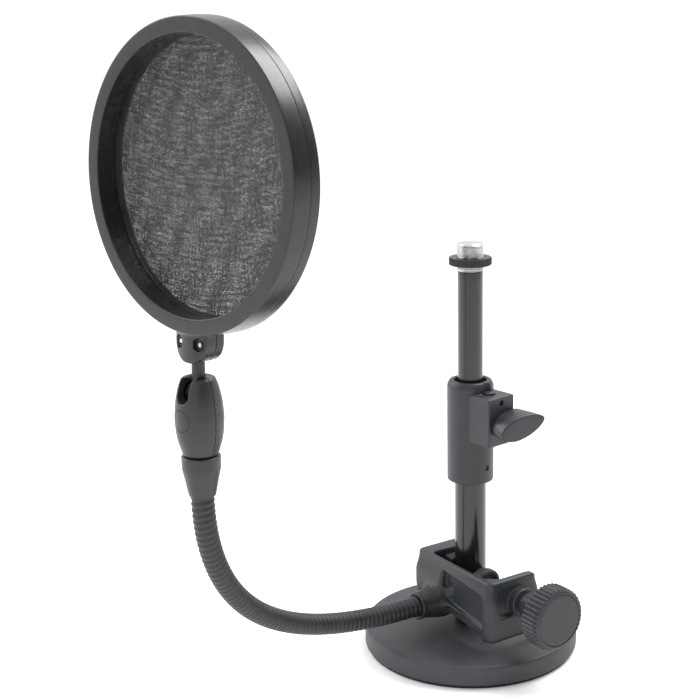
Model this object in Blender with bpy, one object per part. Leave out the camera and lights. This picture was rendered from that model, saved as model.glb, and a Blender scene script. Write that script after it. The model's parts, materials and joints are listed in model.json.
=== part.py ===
"""Desk-stand pop filter: a round weighted base, a telescoping post with a clutch, a post clamp, a gooseneck,
a ball swivel and a two-layer mesh hoop.

Metres, +Z up. The origin is the middle of the base's underside, on the post's axis. The hoop faces -Y.
"""
from math import cos, pi, radians, sin, tau

import bmesh
import bpy
from mathutils import Matrix, Vector

MM = 0.001
GAP = 0.3 * MM                      # clearance between pieces that touch

# Base
BASE_RADIUS = 65.0 * MM
BASE_TOP = 14.5 * MM                # at the post; the rim is a little lower
BASE_RIM = 14.0 * MM
PAD_THICKNESS = 1.8 * MM
WEIGHT_BOTTOM = PAD_THICKNESS + GAP
BOLT_RADIUS = 3.7 * MM

# Post
LOWER_TUBE_RADIUS = 9.5 * MM
LOWER_TUBE_BORE = 8.0 * MM
LOWER_TUBE_TOP = 130.0 * MM
UPPER_TUBE_RADIUS = 7.5 * MM
UPPER_TUBE_BORE = 6.3 * MM
UPPER_TUBE_BOTTOM = 80.3 * MM
UPPER_TUBE_TOP = 234.0 * MM
STUD_RADIUS = 7.9 * MM              # 5/8 inch thread
STUD_TOP = 250.5 * MM
LOCK_RING_RADIUS = 12.7 * MM

# Clutch
CLUTCH_TURN = radians(-5.0)         # the boss's direction, turned from +X about the post
CLUTCH_RADIUS = 14.0 * MM
CLUTCH_BORE = 9.8 * MM
CLUTCH_BOTTOM = 106.0 * MM
CLUTCH_TOP = 168.0 * MM
BOSS_END = 25.8 * MM
BOSS_HALF_WIDTH = 10.6 * MM
BOSS_BOTTOM = 132.5 * MM
BOSS_TOP = 161.8 * MM
CLUTCH_SCREW_Z = 145.7 * MM
CLUTCH_SCREW_RADIUS = 2.9 * MM
PIN_HOLE_Z = 158.0 * MM
GRUB_HOLE_Z = 115.7 * MM
PIN_CAP_X = 15.5 * MM
PIN_CAP_RADIUS = 3.4 * MM
WING_END = 45.5 * MM
WING_TILT = radians(15.0)

# Post clamp, in its own frame: X towards its knob, -Y towards the gooseneck
CLAMP_TURN = radians(-12.5)
CLAMP_BOTTOM = 26.5 * MM            # below the spine and the -X arm
ARM_BOTTOM = 21.8 * MM              # below the +X arm, which is taller
CLAMP_TOP = 58.2 * MM
CLAMP_X = (-28.0 * MM, 49.0 * MM)   # outer faces of the two arms
CLAMP_JAW = (-15.0 * MM, 41.5 * MM) # inner faces of the two arms
CLAMP_FRONT = -24.0 * MM            # the spine's outer face
CLAMP_SPINE = -18.0 * MM            # the spine's inner face
CLAMP_BACK = 16.0 * MM              # the arms' free ends
CLAMP_SCREW_Z = 43.5 * MM
CLAMP_SCREW_RADIUS = 4.0 * MM
KNOB_RADIUS = 18.5 * MM
KNOB_RIBS = 40
KNOB_BACK = 69.5 * MM
KNOB_FRONT = 82.5 * MM

# Gooseneck
NECK_RADIUS = 6.1 * MM
NECK_START = Vector((-4.5, -38.0, 31.5)) * MM   # middle of the socket's mouth, in the clamp's frame
NECK_START_PULL = 106.0 * MM        # handle lengths of the curve that the neck follows
NECK_END_PULL = 61.0 * MM
NECK_LINKS = 8
LINK_GAP = 1.6 * MM
LINK_CHAMFER = 1.1 * MM
SOCKET_RADIUS = 8.5 * MM
SOCKET_BORE = 6.5 * MM

# Swivel
BALL_CENTRE = Vector((-13.0, -197.0, 200.0)) * MM
BALL_RADIUS = 6.6 * MM
COLLAR_BOTTOM = 146.0 * MM
COLLAR_TOP = 167.3 * MM
SHELL_BOTTOM = 168.0 * MM
SHELL_TOP = 208.0 * MM
SHELL_SCREW_Z = 187.6 * MM
ROD_RADIUS = 3.45 * MM

# Hoop, in a frame on the ball's centre with Z along the rod and -Y to the front
HOOP_LEAN = radians(2.2)            # how far the hoop leans back
HOOP_CENTRE = 108.0 * MM
HOOP_RADIUS = 78.1 * MM
HOOP_BORE = 69.3 * MM
HOOP_FRONT = -8.0 * MM
HOOP_SEAM = 1.8 * MM
HOOP_BACK = 8.0 * MM
ROD_DEPTH = 74.6 * MM               # the rod's top, below the hoop's centre
MESH_RADIUS = 72.6 * MM
MESH_THICKNESS = 0.4 * MM
MESH_FRONT_Y = 3.0 * MM
MESH_REAR_Y = 5.9 * MM
LUG_HALF_WIDTH = 11.6 * MM
LUG_BOTTOM = -92.2 * MM             # from the hoop's centre
LUG_SCREW_Z = -82.0 * MM
LUG_SCREW_X = 7.15 * MM
NUT_ACROSS_CORNERS = 6.4 * MM


# ---------------------------------------------------------------- materials

def make_material(name, colour, roughness, metallic=0.0):
    made = bpy.data.materials.new(name)
    made.use_nodes = True
    shader = made.node_tree.nodes["Principled BSDF"]
    shader.inputs["Base Color"].default_value = (*colour, 1.0)
    shader.inputs["Roughness"].default_value = roughness
    shader.inputs["Metallic"].default_value = metallic
    return made


FINISHES = {
    "cast": ((0.060, 0.066, 0.068), 0.62, 0.0),
    "rubber": ((0.018, 0.018, 0.018), 0.85, 0.0),
    "steel": ((0.55, 0.55, 0.55), 0.30, 1.0),
    "dark_steel": ((0.030, 0.030, 0.032), 0.38, 1.0),
    "tube": ((0.030, 0.030, 0.032), 0.28, 0.0),
    "clutch": ((0.050, 0.050, 0.053), 0.45, 0.0),
    "plastic": ((0.055, 0.057, 0.060), 0.50, 0.0),
    "neck": ((0.045, 0.045, 0.048), 0.55, 0.0),
    "mesh": ((0.10, 0.10, 0.10), 0.80, 0.0),
}
MATERIALS = {}


# ---------------------------------------------------------------- building tools

def frame(name, place, parent=None):
    """An empty that carries a joint's axis or a sub-assembly's own frame."""
    empty = bpy.data.objects.new(name, None)
    bpy.context.scene.collection.objects.link(empty)
    empty.parent = parent
    empty.matrix_basis = place
    return empty


def finish(name, bm, finish_name, parent=None):
    """Turns a bmesh into a named node with its own material."""
    bmesh.ops.recalc_face_normals(bm, faces=bm.faces)
    mesh = bpy.data.meshes.new(name)
    bm.to_mesh(mesh)
    bm.free()
    mesh.shade_smooth()
    mesh.set_sharp_from_angle(angle=radians(35))
    mesh.materials.append(make_material(name, *FINISHES[finish_name]))
    node = bpy.data.objects.new(name, mesh)
    bpy.context.scene.collection.objects.link(node)
    node.parent = parent
    return node


def rings_to_faces(bm, rings, closed_ends=True, loop=False):
    """Joins equal rings of vertices by quads; a ring of one vertex is a pole."""
    pairs = list(zip(rings, rings[1:]))
    if loop:
        pairs.append((rings[-1], rings[0]))
    for low, high in pairs:
        count = max(len(low), len(high))
        for i in range(count):
            j = (i + 1) % count
            if len(low) == 1:
                bm.faces.new((low[0], high[j], high[i]))
            elif len(high) == 1:
                bm.faces.new((low[i], low[j], high[0]))
            else:
                bm.faces.new((low[i], low[j], high[j], high[i]))
    if closed_ends and not loop:
        for ring in (rings[0], rings[-1]):
            if len(ring) > 2:
                bm.faces.new(ring)


def turned(profile, sides, ring=False, turn=None):
    """A solid turned about Z from (radius, height) points; a ring has its profile closed on itself."""
    bm = bmesh.new()
    rings = []
    for radius, height in profile:
        if radius == 0:
            rings.append([bm.verts.new((0, 0, height))])
            continue
        angles = (tau * (i + 0.5) / sides for i in range(sides))
        rings.append([bm.verts.new((radius * cos(a), radius * sin(a), height)) for a in angles])
    rings_to_faces(bm, rings, loop=ring)
    if turn is not None:
        bm.transform(turn)
    return bm


def lofted(sections):
    """A solid through equal loops of points, closed by its first and last loops."""
    bm = bmesh.new()
    rings = [[bm.verts.new(point) for point in section] for section in sections]
    rings_to_faces(bm, rings)
    return bm


def block(low, high):
    """A box between two corners."""
    bm = bmesh.new()
    middle = (Vector(low) + Vector(high)) / 2
    size = Vector(high) - Vector(low)
    bmesh.ops.create_cube(bm, size=1.0, matrix=Matrix.Translation(middle) @ Matrix.Diagonal((*size, 1.0)))
    return bm


def rod(radius, low, high, sides=16, turn=None):
    """A plain cylinder along Z, or along the axis that turn gives it."""
    return turned([(radius, low), (radius, high)], sides, turn=turn)


def along_x(y=0.0, z=0.0):
    """Lays a solid that was turned about Z along +X, through the point (0, y, z)."""
    return Matrix.Translation((0, y, z)) @ Matrix.Rotation(pi / 2, 4, "Y")


def along_y(x=0.0, z=0.0):
    """Lays a solid that was turned about Z along +Y, through the point (x, 0, z)."""
    return Matrix.Translation((x, 0, z)) @ Matrix.Rotation(-pi / 2, 4, "X")


def combine(node, operation, bm, name):
    """Adds or cuts a shape with a Boolean modifier; the tool shape is a hidden guide."""
    bmesh.ops.recalc_face_normals(bm, faces=bm.faces)
    mesh = bpy.data.meshes.new(name)
    bm.to_mesh(mesh)
    bm.free()
    tool = bpy.data.objects.new(name, mesh)
    bpy.context.scene.collection.objects.link(tool)
    tool.parent = node.parent
    tool.hide_render = True
    tool.display_type = "WIRE"
    modifier = node.modifiers.new(name, "BOOLEAN")
    modifier.operation = operation
    modifier.solver = "EXACT"
    modifier.object = tool


def cut(node, bm, name):
    combine(node, "DIFFERENCE", bm, f"{node.name}_{name}_cutter")


def add(node, bm, name):
    combine(node, "UNION", bm, f"{node.name}_{name}_guide")


def arc(centre, radius, start, end, steps):
    """Points of a round corner between two angles in degrees."""
    angles = (radians(start + (end - start) * i / steps) for i in range(steps + 1))
    return [(centre[0] + radius * cos(a), centre[1] + radius * sin(a)) for a in angles]


def extruded(outline, low, high, axis="Z"):
    """A prism of an outline: along Z its points are (x, y); along Y they are (x, z)."""
    def place(point, level):
        return (point[0], point[1], level) if axis == "Z" else (point[0], level, point[1])
    return lofted([[place(p, low) for p in outline], [place(p, high) for p in outline]])


# ---------------------------------------------------------------- base and lower post

def build_base():
    counterbore = (12.0 * MM, 9.4 * MM)
    hole = BOLT_RADIUS + 2 * GAP
    weight = [
        (counterbore[0], WEIGHT_BOTTOM), (BASE_RADIUS - 0.4 * MM, WEIGHT_BOTTOM),
        (BASE_RADIUS, WEIGHT_BOTTOM + 0.4 * MM), (BASE_RADIUS - 0.5 * MM, BASE_RIM - 1.2 * MM),
        (BASE_RADIUS - 0.9 * MM, BASE_RIM - 0.35 * MM), (BASE_RADIUS - 1.8 * MM, BASE_RIM),
        (hole, BASE_TOP), (hole, counterbore[1]), counterbore,
    ]
    finish("base_weight", turned(weight, 72, ring=True), "cast")
    finish("base_pad", rod(BASE_RADIUS - 1.6 * MM, 0, PAD_THICKNESS, 72), "rubber")

    head_low, head_high = 2.6 * MM, 7.6 * MM
    bolt = finish("base_bolt", rod(7.4 * MM, head_low, head_high, sides=6), "steel")
    add(bolt, rod(BOLT_RADIUS, head_high - 1 * MM, 34 * MM), "shank")
    washer = [(4.3 * MM, 7.9 * MM), (9 * MM, 7.9 * MM), (9 * MM, 9.1 * MM), (4.3 * MM, 9.1 * MM)]
    finish("base_washer", turned(washer, 32, ring=True), "steel")


def build_lower_post():
    low = BASE_TOP + GAP
    tube = [(LOWER_TUBE_BORE, low), (LOWER_TUBE_RADIUS, low),
            (LOWER_TUBE_RADIUS, LOWER_TUBE_TOP), (LOWER_TUBE_BORE, LOWER_TUBE_TOP)]
    finish("lower_tube", turned(tube, 32, ring=True), "tube")
    outer, inner, top = LOWER_TUBE_BORE - GAP, BOLT_RADIUS + GAP, 36 * MM
    insert = [(inner, low), (outer, low), (outer, top), (inner, top)]
    finish("tube_foot_insert", turned(insert, 24, ring=True), "steel")


# ---------------------------------------------------------------- clutch

def build_clutch():
    turn = frame("clutch_frame", Matrix.Rotation(CLUTCH_TURN, 4, "Z"))
    body_profile = [
        (0, CLUTCH_BOTTOM), (CLUTCH_RADIUS - 1.6 * MM, CLUTCH_BOTTOM), (CLUTCH_RADIUS, CLUTCH_BOTTOM + 1.6 * MM),
        (CLUTCH_RADIUS, CLUTCH_TOP - 3.2 * MM), (CLUTCH_RADIUS - 0.7 * MM, CLUTCH_TOP - 1 * MM),
        (CLUTCH_RADIUS - 1.8 * MM, CLUTCH_TOP), (0, CLUTCH_TOP),
    ]
    body = finish("clutch_body", turned(body_profile, 36), "clutch", turn)
    half, bevel = BOSS_HALF_WIDTH, 1.2 * MM
    boss_outline = [(0, -half), (BOSS_END - bevel, -half), (BOSS_END, -half + bevel),
                    (BOSS_END, half - bevel), (BOSS_END - bevel, half), (0, half)]
    add(body, extruded(boss_outline, BOSS_BOTTOM, BOSS_TOP), "boss")
    cut(body, rod(CLUTCH_BORE, CLUTCH_BOTTOM - 1 * MM, CLUTCH_TOP + 1 * MM, sides=36), "bore")
    screw_hole = CLUTCH_SCREW_RADIUS + GAP
    cut(body, rod(screw_hole, 5 * MM, 30 * MM, turn=along_x(z=CLUTCH_SCREW_Z)), "screw_hole")
    cut(body, rod(1.7 * MM, BOSS_END - 7 * MM, 30 * MM, 12, along_x(z=PIN_HOLE_Z)), "pin_hole")
    cut(body, rod(1.5 * MM, 8 * MM, 16 * MM, 12, along_x(z=GRUB_HOLE_Z)), "grub_hole")

    bush_low, bush_high = LOWER_TUBE_TOP + GAP, 160 * MM
    inner, outer = UPPER_TUBE_RADIUS + 0.35 * MM, CLUTCH_BORE - GAP
    bush_profile = [(inner, bush_low), (outer, bush_low), (outer, bush_high), (inner, bush_high)]
    bush = finish("clutch_bush", turned(bush_profile, 32, ring=True), "rubber", turn)
    cut(bush, rod(screw_hole, 5 * MM, 12 * MM, turn=along_x(z=CLUTCH_SCREW_Z)), "screw_hole")

    cap_place = Matrix.Translation((PIN_CAP_X, 0, 0))
    seat_floor = BOSS_TOP - 0.5 * MM
    cut(body, rod(PIN_CAP_RADIUS + GAP, seat_floor, CLUTCH_TOP + 1 * MM, 20, cap_place), "cap_seat")
    cap = [(0, seat_floor + GAP), (PIN_CAP_RADIUS, seat_floor + GAP), (PIN_CAP_RADIUS, BOSS_TOP + 0.9 * MM),
           (PIN_CAP_RADIUS - 0.6 * MM, BOSS_TOP + 1.5 * MM), (0, BOSS_TOP + 1.5 * MM)]
    finish("clutch_pin_cap", turned(cap, 20, turn=cap_place), "clutch", turn)
    upper = rod(1.4 * MM, BOSS_END - 6.5 * MM, BOSS_END - 1.8 * MM, 12, along_x(z=PIN_HOLE_Z))
    finish("clutch_retaining_screw", upper, "dark_steel", turn)
    lower = rod(1.2 * MM, LOWER_TUBE_RADIUS + GAP, CLUTCH_RADIUS - 0.8 * MM, 12, along_x(z=GRUB_HOLE_Z))
    finish("clutch_grub_screw", lower, "dark_steel", turn)
    return turn


def build_clutch_knob(turn):
    axis = frame("clutch_screw_axis", Matrix.Translation((0, 0, CLUTCH_SCREW_Z)), turn)
    pad_tip, pad_end = UPPER_TUBE_RADIUS + 0.35 * MM, 12 * MM
    pad = rod(CLUTCH_SCREW_RADIUS - 0.1 * MM, pad_tip, pad_end, turn=along_x())
    finish("clutch_brake_pad", pad, "rubber", axis)
    finish("clutch_screw", rod(CLUTCH_SCREW_RADIUS, pad_end + GAP, 36 * MM, turn=along_x()), "steel", axis)

    def section(share, short, long, high, inset=0.0):
        """One outline of the wing, part of the way from its back to its slanted end face."""
        points = []
        for i in range(28):
            angle = tau * i / 28
            side = (long if cos(angle) > 0 else short) - inset
            y = side * cos(angle)
            end = WING_END - (17 * MM - y) * 0.26
            points.append((neck_start + share * (end - neck_start), y, (high - inset) * sin(angle)))
        return points
    neck_start = BOSS_END + 0.4 * MM
    sections = [
        section(0.0, 8.6 * MM, 16.2 * MM, 6.7 * MM, 0.8 * MM), section(0.05, 8.8 * MM, 16.6 * MM, 6.7 * MM),
        section(0.5, 11.4 * MM, 17.1 * MM, 7.0 * MM), section(0.95, 12.9 * MM, 17.2 * MM, 7.1 * MM),
        section(1.0, 12.9 * MM, 17.2 * MM, 7.1 * MM, 0.9 * MM),
    ]
    wing = lofted(sections)
    wing.transform(Matrix.Rotation(WING_TILT, 4, "X"))
    knob = finish("clutch_knob", wing, "clutch", axis)
    cut(knob, rod(CLUTCH_SCREW_RADIUS + GAP, 20 * MM, 36.4 * MM, turn=along_x()), "screw_hole")


# ---------------------------------------------------------------- upper post

def build_upper_post():
    axis = frame("post_axis", Matrix.Identity(4))
    plug_radius, spigot = LOWER_TUBE_BORE - GAP, UPPER_TUBE_BORE - GAP
    bottom = UPPER_TUBE_BOTTOM
    plug = [(0, bottom - 8.3 * MM), (plug_radius, bottom - 8.3 * MM), (plug_radius, bottom - GAP),
            (spigot, bottom - GAP), (spigot, bottom + 6 * MM), (0, bottom + 6 * MM)]
    finish("tube_guide_plug", turned(plug, 24), "plastic", axis)
    tube = [(UPPER_TUBE_BORE, bottom), (UPPER_TUBE_RADIUS, bottom),
            (UPPER_TUBE_RADIUS, UPPER_TUBE_TOP), (UPPER_TUBE_BORE, UPPER_TUBE_TOP)]
    finish("upper_tube", turned(tube, 32, ring=True), "tube", axis)
    top = UPPER_TUBE_TOP
    stud = [(0, top - 14 * MM), (spigot, top - 14 * MM), (spigot, top + GAP), (STUD_RADIUS, top + GAP),
            (STUD_RADIUS, STUD_TOP - 1 * MM), (STUD_RADIUS - 1 * MM, STUD_TOP), (0, STUD_TOP)]
    finish("top_stud", turned(stud, 28), "steel", axis)
    low, high, round_off = 237.6 * MM, 242.2 * MM, 0.6 * MM
    inner = STUD_RADIUS + GAP
    ring = [(inner, low), (LOCK_RING_RADIUS - round_off, low), (LOCK_RING_RADIUS, low + round_off),
            (LOCK_RING_RADIUS, high - round_off), (LOCK_RING_RADIUS - round_off, high), (inner, high)]
    finish("top_lock_ring", turned(ring, 36, ring=True), "dark_steel", axis)


# ---------------------------------------------------------------- post clamp

def build_clamp_body(clamp):
    outer_low, outer_high = CLAMP_X
    jaw_low, jaw_high = CLAMP_JAW
    round_front, round_back, round_in = 4 * MM, 3 * MM, 1.5 * MM
    outline = (
        arc((outer_low + round_front, CLAMP_FRONT + round_front), round_front, 180, 270, 4)
        + arc((outer_high - round_front, CLAMP_FRONT + round_front), round_front, 270, 360, 4)
        + arc((outer_high - round_back, CLAMP_BACK - round_back), round_back, 0, 90, 3)
        + arc((jaw_high + round_back, CLAMP_BACK - round_back), round_back, 90, 180, 3)
        + arc((jaw_high - round_in, CLAMP_SPINE + round_in), round_in, 0, -90, 2)
        + arc((jaw_low + round_in, CLAMP_SPINE + round_in), round_in, 270, 180, 2)
        + arc((jaw_low - round_back, CLAMP_BACK - round_back), round_back, 0, 90, 3)
        + arc((outer_low + round_back, CLAMP_BACK - round_back), round_back, 90, 180, 3)
    )
    body = finish("clamp_body", extruded(outline, ARM_BOTTOM, CLAMP_TOP), "plastic", clamp)
    below, reach = ARM_BOTTOM - 5 * MM, 40 * MM
    slope = [(-reach, below), (38 * MM, below), (38 * MM, ARM_BOTTOM), (8 * MM, CLAMP_BOTTOM),
             (-reach, CLAMP_BOTTOM)]
    cut(body, extruded(slope, -reach, reach, axis="Y"), "underside")
    socket_x, socket_z = NECK_START.x, NECK_START.z
    add(body, rod(SOCKET_RADIUS, NECK_START.y, CLAMP_SPINE - 2 * MM, 32, along_y(socket_x, socket_z)), "socket")
    add(body, rod(8.5 * MM, outer_high - 4 * MM, outer_high + 3 * MM, 32, along_x(z=CLAMP_SCREW_Z)), "screw_boss")
    cut(body, rod(SOCKET_BORE, NECK_START.y - 2 * MM, CLAMP_FRONT - 2 * MM, 32, along_y(socket_x, socket_z)), "bore")
    hole = CLAMP_SCREW_RADIUS + GAP
    cut(body, rod(hole, jaw_high - 4 * MM, outer_high + 8 * MM, 24, along_x(z=CLAMP_SCREW_Z)), "screw_hole")
    pocket = rod(7.9 * MM, jaw_high - 4 * MM, jaw_high + 5.2 * MM, 6, along_x(z=CLAMP_SCREW_Z))
    cut(body, pocket, "nut_pocket")


def build_clamp(clamp):
    build_clamp_body(clamp)
    jaw_low, jaw_high = CLAMP_JAW
    pad = block((jaw_low + GAP, -9 * MM, CLAMP_BOTTOM + 2 * MM), (-6 * MM, 9 * MM, CLAMP_TOP - 4 * MM))
    jaw_pad = finish("clamp_jaw_pad", pad, "rubber", clamp)
    cut(jaw_pad, rod(LOWER_TUBE_RADIUS + GAP, 20 * MM, 64 * MM, 40), "post_groove")

    nut_hole = CLAMP_SCREW_RADIUS + 0.2 * MM
    nut = rod(7.5 * MM, jaw_high + 0.2 * MM, jaw_high + 4.9 * MM, 6, along_x(z=CLAMP_SCREW_Z))
    nut_node = finish("clamp_nut", nut, "steel", clamp)
    cut(nut_node, rod(nut_hole, jaw_high - 2 * MM, jaw_high + 8 * MM, 24, along_x(z=CLAMP_SCREW_Z)), "thread")

    axis = frame("clamp_screw_axis", Matrix.Translation((0, 0, CLAMP_SCREW_Z)), clamp)
    tip = LOWER_TUBE_RADIUS + 0.35 * MM
    pad_profile = [
        (0, tip), (7.6 * MM, tip), (8 * MM, tip + 0.6 * MM), (8 * MM, tip + 3.6 * MM), (9 * MM, tip + 4.4 * MM),
        (9 * MM, tip + 7.4 * MM), (8.2 * MM, tip + 8.6 * MM), (6.6 * MM, tip + 8.6 * MM), (5.4 * MM, tip + 6.2 * MM),
        (3.5 * MM, tip + 6.2 * MM), (3.5 * MM, tip + 2 * MM), (0, tip + 2 * MM),
    ]
    finish("clamp_pressure_pad", turned(pad_profile, 24, turn=along_x()), "rubber", axis)
    screw_profile = [
        (0, tip + 2.4 * MM), (3.1 * MM, tip + 2.4 * MM), (3.1 * MM, tip + 9 * MM), (CLAMP_SCREW_RADIUS, tip + 10 * MM),
        (CLAMP_SCREW_RADIUS, KNOB_FRONT - 3 * MM), (0, KNOB_FRONT - 3 * MM),
    ]
    finish("clamp_screw", turned(screw_profile, 24, turn=along_x()), "steel", axis)
    build_clamp_knob(axis)


def build_clamp_knob(axis):
    """A ribbed knob: its rim's radius swings between crest and groove."""
    groove = KNOB_RADIUS - 1.1 * MM
    hole = CLAMP_SCREW_RADIUS + GAP

    def rim(height):
        points = []
        for i in range(2 * KNOB_RIBS):
            radius = KNOB_RADIUS if i % 2 else groove
            points.append((radius * cos(pi * i / KNOB_RIBS), radius * sin(pi * i / KNOB_RIBS), height))
        return points

    def circle(height, radius):
        sides = 2 * KNOB_RIBS
        return [(radius * cos(tau * i / sides), radius * sin(tau * i / sides), height) for i in range(sides)]
    sections = [
        circle(KNOB_BACK - 15 * MM, 7.2 * MM), circle(KNOB_BACK, 7.6 * MM), circle(KNOB_BACK, 15 * MM),
        rim(KNOB_BACK + 1 * MM), rim(KNOB_FRONT - 1.6 * MM), circle(KNOB_FRONT, 16.2 * MM),
        circle(KNOB_FRONT - 1.2 * MM, 15.6 * MM),
    ]
    shape = lofted(sections)
    shape.transform(along_x())
    knob = finish("clamp_knob", shape, "plastic", axis)
    cut(knob, rod(hole, KNOB_BACK - 17 * MM, KNOB_FRONT - 2.4 * MM, 24, along_x()), "screw_hole")
    cap_low, cap_high = KNOB_FRONT - 1.2 * MM + GAP, KNOB_FRONT + 0.2 * MM
    cap = [(0, cap_low), (15 * MM, cap_low), (15 * MM, KNOB_FRONT - 0.4 * MM), (14.2 * MM, cap_high),
           (0, cap_high)]
    finish("clamp_knob_cap", turned(cap, 40, turn=along_x()), "plastic", axis)


# ---------------------------------------------------------------- gooseneck

def neck_curve():
    """The rest curve: straight out of the clamp's socket, then up into the swivel's collar."""
    turn = Matrix.Rotation(CLAMP_TURN, 3, "Z")
    start = turn @ NECK_START
    end = Vector((BALL_CENTRE.x, BALL_CENTRE.y, COLLAR_BOTTOM))
    handles = (start, start + turn @ Vector((0, -NECK_START_PULL, 0)), end - Vector((0, 0, NECK_END_PULL)), end)

    def point(t):
        a, b, c, d = handles
        s = 1 - t
        return s ** 3 * a + 3 * s * s * t * b + 3 * s * t * t * c + t ** 3 * d
    return point


def neck_stations(point, fine=400):
    """Curve parameters that divide the neck into links of equal length."""
    lengths = [0.0]
    for i in range(fine):
        lengths.append(lengths[-1] + (point((i + 1) / fine) - point(i / fine)).length)
    total = lengths[-1]

    def at_length(wanted):
        for i in range(fine):
            if lengths[i + 1] >= wanted:
                part = (wanted - lengths[i]) / (lengths[i + 1] - lengths[i])
                return (i + part) / fine
        return 1.0
    return at_length, total


def neck_frame(point, t):
    """The neck's place and direction at t; the frame's Z runs along the neck and its X stays level."""
    step = 1e-3
    along = (point(min(t + step, 1)) - point(max(t - step, 0))).normalized()
    across = Vector((1, 0, 0))
    across = (across - along * across.dot(along)).normalized()
    up = along.cross(across)
    place = Matrix((across, up, along)).transposed().to_4x4()
    place.translation = point(t)
    return place


def build_gooseneck():
    point = neck_curve()
    at_length, total = neck_stations(point)
    pitch = (total + LINK_GAP) / NECK_LINKS
    for i in range(NECK_LINKS):
        low = i * pitch if i else LINK_GAP / 2
        high = (i + 1) * pitch - LINK_GAP
        joint = frame(f"neck_joint_{i + 1}", neck_frame(point, at_length(max(i * pitch - LINK_GAP / 2, 0))))
        to_joint = joint.matrix_basis.inverted()
        rings = [(low, NECK_RADIUS - LINK_CHAMFER), (low + LINK_CHAMFER, NECK_RADIUS)]
        rings += [(low + (high - low) * k / 3, NECK_RADIUS) for k in (1, 2)]
        rings += [(high - LINK_CHAMFER, NECK_RADIUS), (high, NECK_RADIUS - LINK_CHAMFER)]
        sections = []
        for length, radius in rings:
            place = to_joint @ neck_frame(point, at_length(length))
            circle = (Vector((radius * cos(tau * k / 16), radius * sin(tau * k / 16), 0)) for k in range(16))
            sections.append([place @ p for p in circle])
        finish(f"gooseneck_link_{i + 1}", lofted(sections), "neck", joint)


def build_neck_ferrule(clamp):
    """The steel plug that grips the gooseneck inside the clamp's socket."""
    radius = SOCKET_BORE - GAP
    ferrule = rod(radius, NECK_START.y + 0.6 * MM, CLAMP_FRONT - 2 * MM - GAP, 24, along_y(NECK_START.x, NECK_START.z))
    finish("gooseneck_ferrule", ferrule, "dark_steel", clamp)


# ---------------------------------------------------------------- swivel

def shell_profile():
    """The swivel shell's outline, from its foot to its rounded top."""
    return [
        (8.6 * MM, SHELL_BOTTOM), (9.2 * MM, SHELL_BOTTOM + 0.6 * MM), (9.75 * MM, 170.3 * MM),
        (11.2 * MM, 174.8 * MM), (12.1 * MM, 179.5 * MM), (12.6 * MM, 187.5 * MM), (11.95 * MM, 195.4 * MM),
        (10.9 * MM, 201.0 * MM), (9.75 * MM, 205.0 * MM), (9.0 * MM, 206.9 * MM), (7.6 * MM, SHELL_TOP),
    ]


def build_shell_half(name, axis, side):
    """One half of the split shell; side is -1 for the front and +1 for the rear."""
    outline = [(0, SHELL_BOTTOM)] + shell_profile() + [(0, SHELL_TOP)]
    relative = [(radius, height - BALL_CENTRE.z) for radius, height in outline]
    half = finish(name, turned(relative, 28), "plastic", axis)
    reach = 20 * MM
    seam = 0.15 * MM
    if side < 0:
        waste = block((-reach, -seam, -40 * MM), (reach, reach, 20 * MM))
    else:
        waste = block((-reach, -reach, -40 * MM), (reach, seam, 20 * MM))
    cut(half, waste, "seam")
    cavity = bmesh.new()
    bmesh.ops.create_uvsphere(cavity, u_segments=16, v_segments=10, radius=BALL_RADIUS + 0.5 * MM)
    cut(half, cavity, "ball_cavity")
    cut(half, rod(ROD_RADIUS + 0.9 * MM, 0, 14 * MM, 20), "rod_hole")
    pin_top = 173.1 * MM - BALL_CENTRE.z
    cut(half, rod(3.3 * MM, SHELL_BOTTOM - BALL_CENTRE.z - 1 * MM, pin_top, 20), "pin_hole")
    screw_z = SHELL_SCREW_Z - BALL_CENTRE.z
    cut(half, rod(1.8 * MM, -reach, reach, 12, along_y(0, screw_z)), "screw_hole")
    if side < 0:
        slot = ROD_RADIUS + 0.5 * MM
        outline = arc((0, 0), slot, 180, 360, 8) + [(slot, 14 * MM), (-slot, 14 * MM)]
        cut(half, extruded(outline, -reach, 0.5 * MM, axis="Y"), "slot")
        cut(half, rod(5.8 * MM, -reach, -10.6 * MM, 24, along_y(0, screw_z)), "cap_seat")
        cut(half, rod(3.4 * MM, -reach, -7.4 * MM, 6, along_y(0, screw_z)), "nut_pocket")
    else:
        cut(half, rod(3.2 * MM, 8.2 * MM, reach, 16, along_y(0, screw_z)), "screw_head_seat")


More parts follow.
